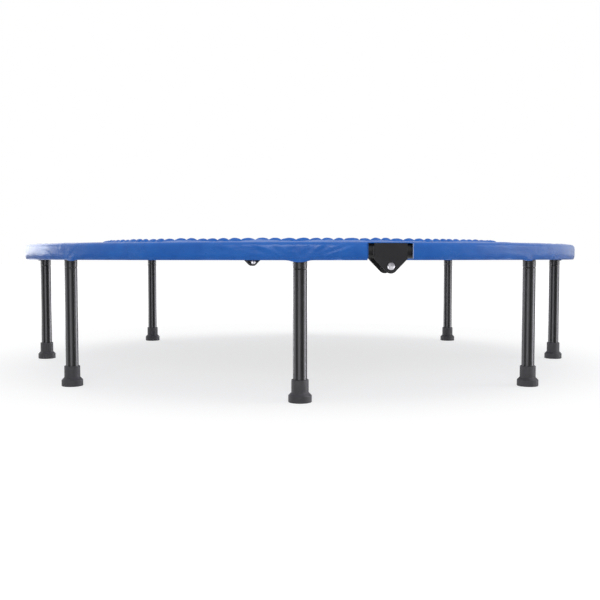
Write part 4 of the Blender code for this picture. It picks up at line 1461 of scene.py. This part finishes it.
start_places = np.array([vert.co for vert in cover.data.vertices])
groups = [cover.vertex_groups.new(name=name) for name in ("held", "slack")]
for vert in cover.data.vertices:
    hold_cloth(vert, *groups)
take(cover)
bpy.ops.object.modifier_add(type="CLOTH")
cloth = cover.modifiers[-1]
for key, value in CLOTH_SETTINGS.items():
    setattr(cloth.settings, key, value)
cloth.settings.effector_weights.gravity = 0.0
cloth.collision_settings.use_collision = False
cloth.point_cache.frame_start = 1
cloth.point_cache.frame_end = CLOTH_FRAMES
for number in range(1, CLOTH_FRAMES + 1):
    bpy.context.scene.frame_set(number)
take(cover)
bpy.ops.object.modifier_apply(modifier=cloth.name)
bpy.context.scene.frame_set(1)
moves = np.array([vert.co for vert in cover.data.vertices]) - start_places
reach = np.linalg.norm(moves, axis=1)
print("cloth moved by up to", round(float(reach.max()) / MM, 2), "mm")
moves *= (CLOTH_CAP * np.tanh(reach / CLOTH_CAP) / np.maximum(reach, 1e-9))[:, None]
cover.data.vertices.foreach_set("co", (start_places + moves).ravel())
cover.vertex_groups.clear()

# %% [markdown]
# One subdivision smooths the cloth, and then its fine creases are moved in, outwards from the
# legs on the skirt, where the hem pulls, and in all directions on the top. The skirt's two faces
# move together, so that its thickness stays.

# %% Fine creases in the cloth
FAN_STRENGTH = (1.0, 0.3, 0.6, 0.8, 1.0, 0.8, 0.6, 0.3, 1.0)
FAN_HEIGHT = 226.0
FAN_REACH = 300.0


def skirt_crease(angle, height):
    """Radial waves of the skirt in mm: fans of creases that start at each leg's top."""
    total = 0.35 * rough(angle * 24, height / 16, 2.0)
    for number, fan_strength in enumerate(FAN_STRENGTH):
        along = (angle - leg_turn(number + 1)) * SKIRT
        away = math.hypot(along, height - FAN_HEIGHT)
        if away <= FAN_REACH:
            fan = math.atan2(height - FAN_HEIGHT, along)
            strength = fan_strength * math.exp(-away / 120) * min(1.0, away / 22)
            total += 2.0 * strength * rough(fan * 7.0, number * 3.7, away / 110)
            total += 1.0 * strength * rough(fan * 17.0, number * 5.1, away / 60)
    return total


def crease_line(angle):
    """1 in the crease between two gathers, and 0 on their backs."""
    turn = (angle - FOLD_TURN) % (2 * math.pi)
    k = int(np.searchsorted(lobe_edges, turn))
    away = min(abs(turn - edge) for edge in lobe_edges[max(k - 1, 0):k + 1])
    return math.exp(-(away * 445.0 / 1.7)**2)


def top_crease(x, y, radius):
    """Waves of the top in mm, stronger and finer towards the elastic."""
    turn = math.atan2(y, x)
    inner = math.exp(-(radius - ELASTIC) / 55)
    return (0.45 * rough(x / 55, y / 55, 7.0)
            + (0.35 + 0.5 * inner) * rough(turn * 26, radius / 70, 4.0)
            + (0.1 + 0.35 * inner) * rough(turn * 70, radius / 30, 9.0))


apply_modifier(cover, "SUBSURF", levels=1, render_levels=1)
for vert in cover.data.vertices:
    x, y, z = vert.co / MM
    radius = math.hypot(x, y)
    angle = math.atan2(x, -y) % (2 * math.pi)
    on_side = min(max((radius - 598) / 8, 0.0), 1.0)
    offset, _ = along_fold(vert.co)
    calm = min(1.0, max(0.15, (abs(offset) - 34) / 20)) if on_side else 1.0
    out = max(on_side * calm * skirt_crease(angle, z), -0.35 if z > 234 else -0.2)
    up = 0.0
    if on_side < 1 and z > 262.3 - 3.0 * (radius < 450):
        up = (1 - on_side) * top_crease(x, y, radius)
        up -= 1.1 * math.exp(-(offset / 1.8)**2) * (radius > ELASTIC)
        up -= 1.5 * crease_line(angle) * math.exp(-abs(radius - 448) / 22)
    vert.co += Vector((x / radius * out, y / radius * out, up)) * MM
coat(cover, cover_blue)
smooth(cover, 60)
stand_across_fold(cover, "cover_blue", "cover_left", "cover_right")
print("cover of", triangles(cover), "triangles, top at",
      round(max(vert.co.z for vert in cover.data.vertices) / MM, 2), "mm")

# %% [markdown]
# The cover is sewn with blue thread: along the elastic's channel at the inner edge, along the
# seam between top and skirt, above the hem, and on both sides of the seams over the hinges. The
# stitches are set on the finished cloth by casting a ray to it.

# %% Stitches of the cover
UP = Vector((0.0, 0.0, 1.0))
bpy.context.view_layer.update()


def cast_places(places, direction):
    """Stitch places where rays that start at other places meet the cover."""
    found = []
    for origin, along, _ in places:
        hit, point, normal, _ = cover.ray_cast(origin, direction(origin))
        if hit:
            found.append((point + normal * 0.05 * MM, along - normal * along.dot(normal), normal))
    return found


def downwards(_):
    return -UP


def inwards(origin):
    return Vector((-origin.x, -origin.y, 0.0)).normalized()


seam_places = []
for radius in (453.0, 598.5):
    seam_places += cast_places(ring_places(radius * MM, 300 * MM, 4.6 * MM, UP), downwards)
hem_places = cast_places(ring_places(640 * MM, 236.4 * MM, 5 * MM, UP), inwards)
seam_places += [place for place in hem_places if place[0].xy.length > 600 * MM]
for end in (FOLD_TURN, FOLD_TURN + math.pi):
    outward = round_the_ring(1.0, end, 0.0)
    for side in (-3.4, 3.4):
        line = [round_the_ring(radius * MM, end, 0.3) + fold_normal * side * MM
                for radius in np.arange(456, 596, 4.6)]
        seam_places += cast_places([(origin, outward, UP) for origin in line], downwards)
cover_stitches = stitch_rows("cover_stitches", seam_places, 3.0 * MM, 0.6 * MM, thread_blue)
stand_across_fold(cover_stitches, "cover_blue")
print(len(seam_places), "stitches in the cover")

# %% [markdown]
# The skirt's cut edges at the hinges are bound with a narrow tape. On the swinging half its tape
# is painted pale, a painted highlight for the thin line of light along that edge beside the
# hinge, and on the other half it is blue. The elastic in the hem comes out beside the
# pale-painted tape and runs in behind the outer plate, where it is fastened.

# %% Bound edges and elastic at the hinges
HALF_TAPE = 0.35
TAPE_BOTTOM = 234.6
TAPE_TOP = 259.6
ELASTIC_BOTTOM = 232.3
ELASTIC_TOP = 234.7
ELASTIC_END = 22.0
ELASTIC_FACES = (607.35, 606.75)


def on_half(out, across, height):
    """A point at a distance out along the fold line and across it, at the front."""
    return Vector((across * MM, -out * MM, height * MM))


def tape(name, low, high, finish, segments=6):
    """A short flat tape between two corners, subdivided and a little uneven."""
    bpy.ops.mesh.primitive_cube_add(size=1.0, location=(low + high) / 2, scale=high - low)
    piece = fresh(name)
    edit(piece, "EDGE")
    longest = max(range(3), key=lambda axis: (high - low)[axis])
    pick_edges(piece, lambda a, b: abs((a - b)[longest]) > 2 * MM)
    bpy.ops.mesh.subdivide(number_cuts=segments)
    done(piece)
    for vert in piece.data.vertices:
        vert.co.y -= 0.12 * MM * rough(0.3, 5.0, vert.co[longest] * 190)
    round_edges(piece, 0.22 * MM, 2, 50)
    coat(piece, finish)
    smooth(piece)
    return piece


deselect_all()
reach_out = math.sqrt(SKIRT**2 - NOTCH_SIDE**2)
# The far tape's pale finish is a painted highlight for the line of light along that edge. The
# near tape is blue.
for name, side, finish in (("near", -1, thread_blue), ("far", 1, edge_tape)):
    edge = side * (NOTCH_SIDE - HALF_TAPE)
    bound = tape("bound_edge", on_half(reach_out + 0.3, edge - HALF_TAPE, TAPE_BOTTOM),
                 on_half(reach_out - 1.7, edge + HALF_TAPE, TAPE_TOP), finish)
    at_both_hinges(bound, f"bound_edge_{name}", side > 0, solid=False)
elastic = tape("elastic", on_half(ELASTIC_FACES[0], ELASTIC_END, ELASTIC_BOTTOM),
               on_half(ELASTIC_FACES[1], NOTCH_SIDE, ELASTIC_TOP), thread_blue, 8)
at_both_hinges(elastic, "hem_elastic", on_lug_half=True, solid=False)
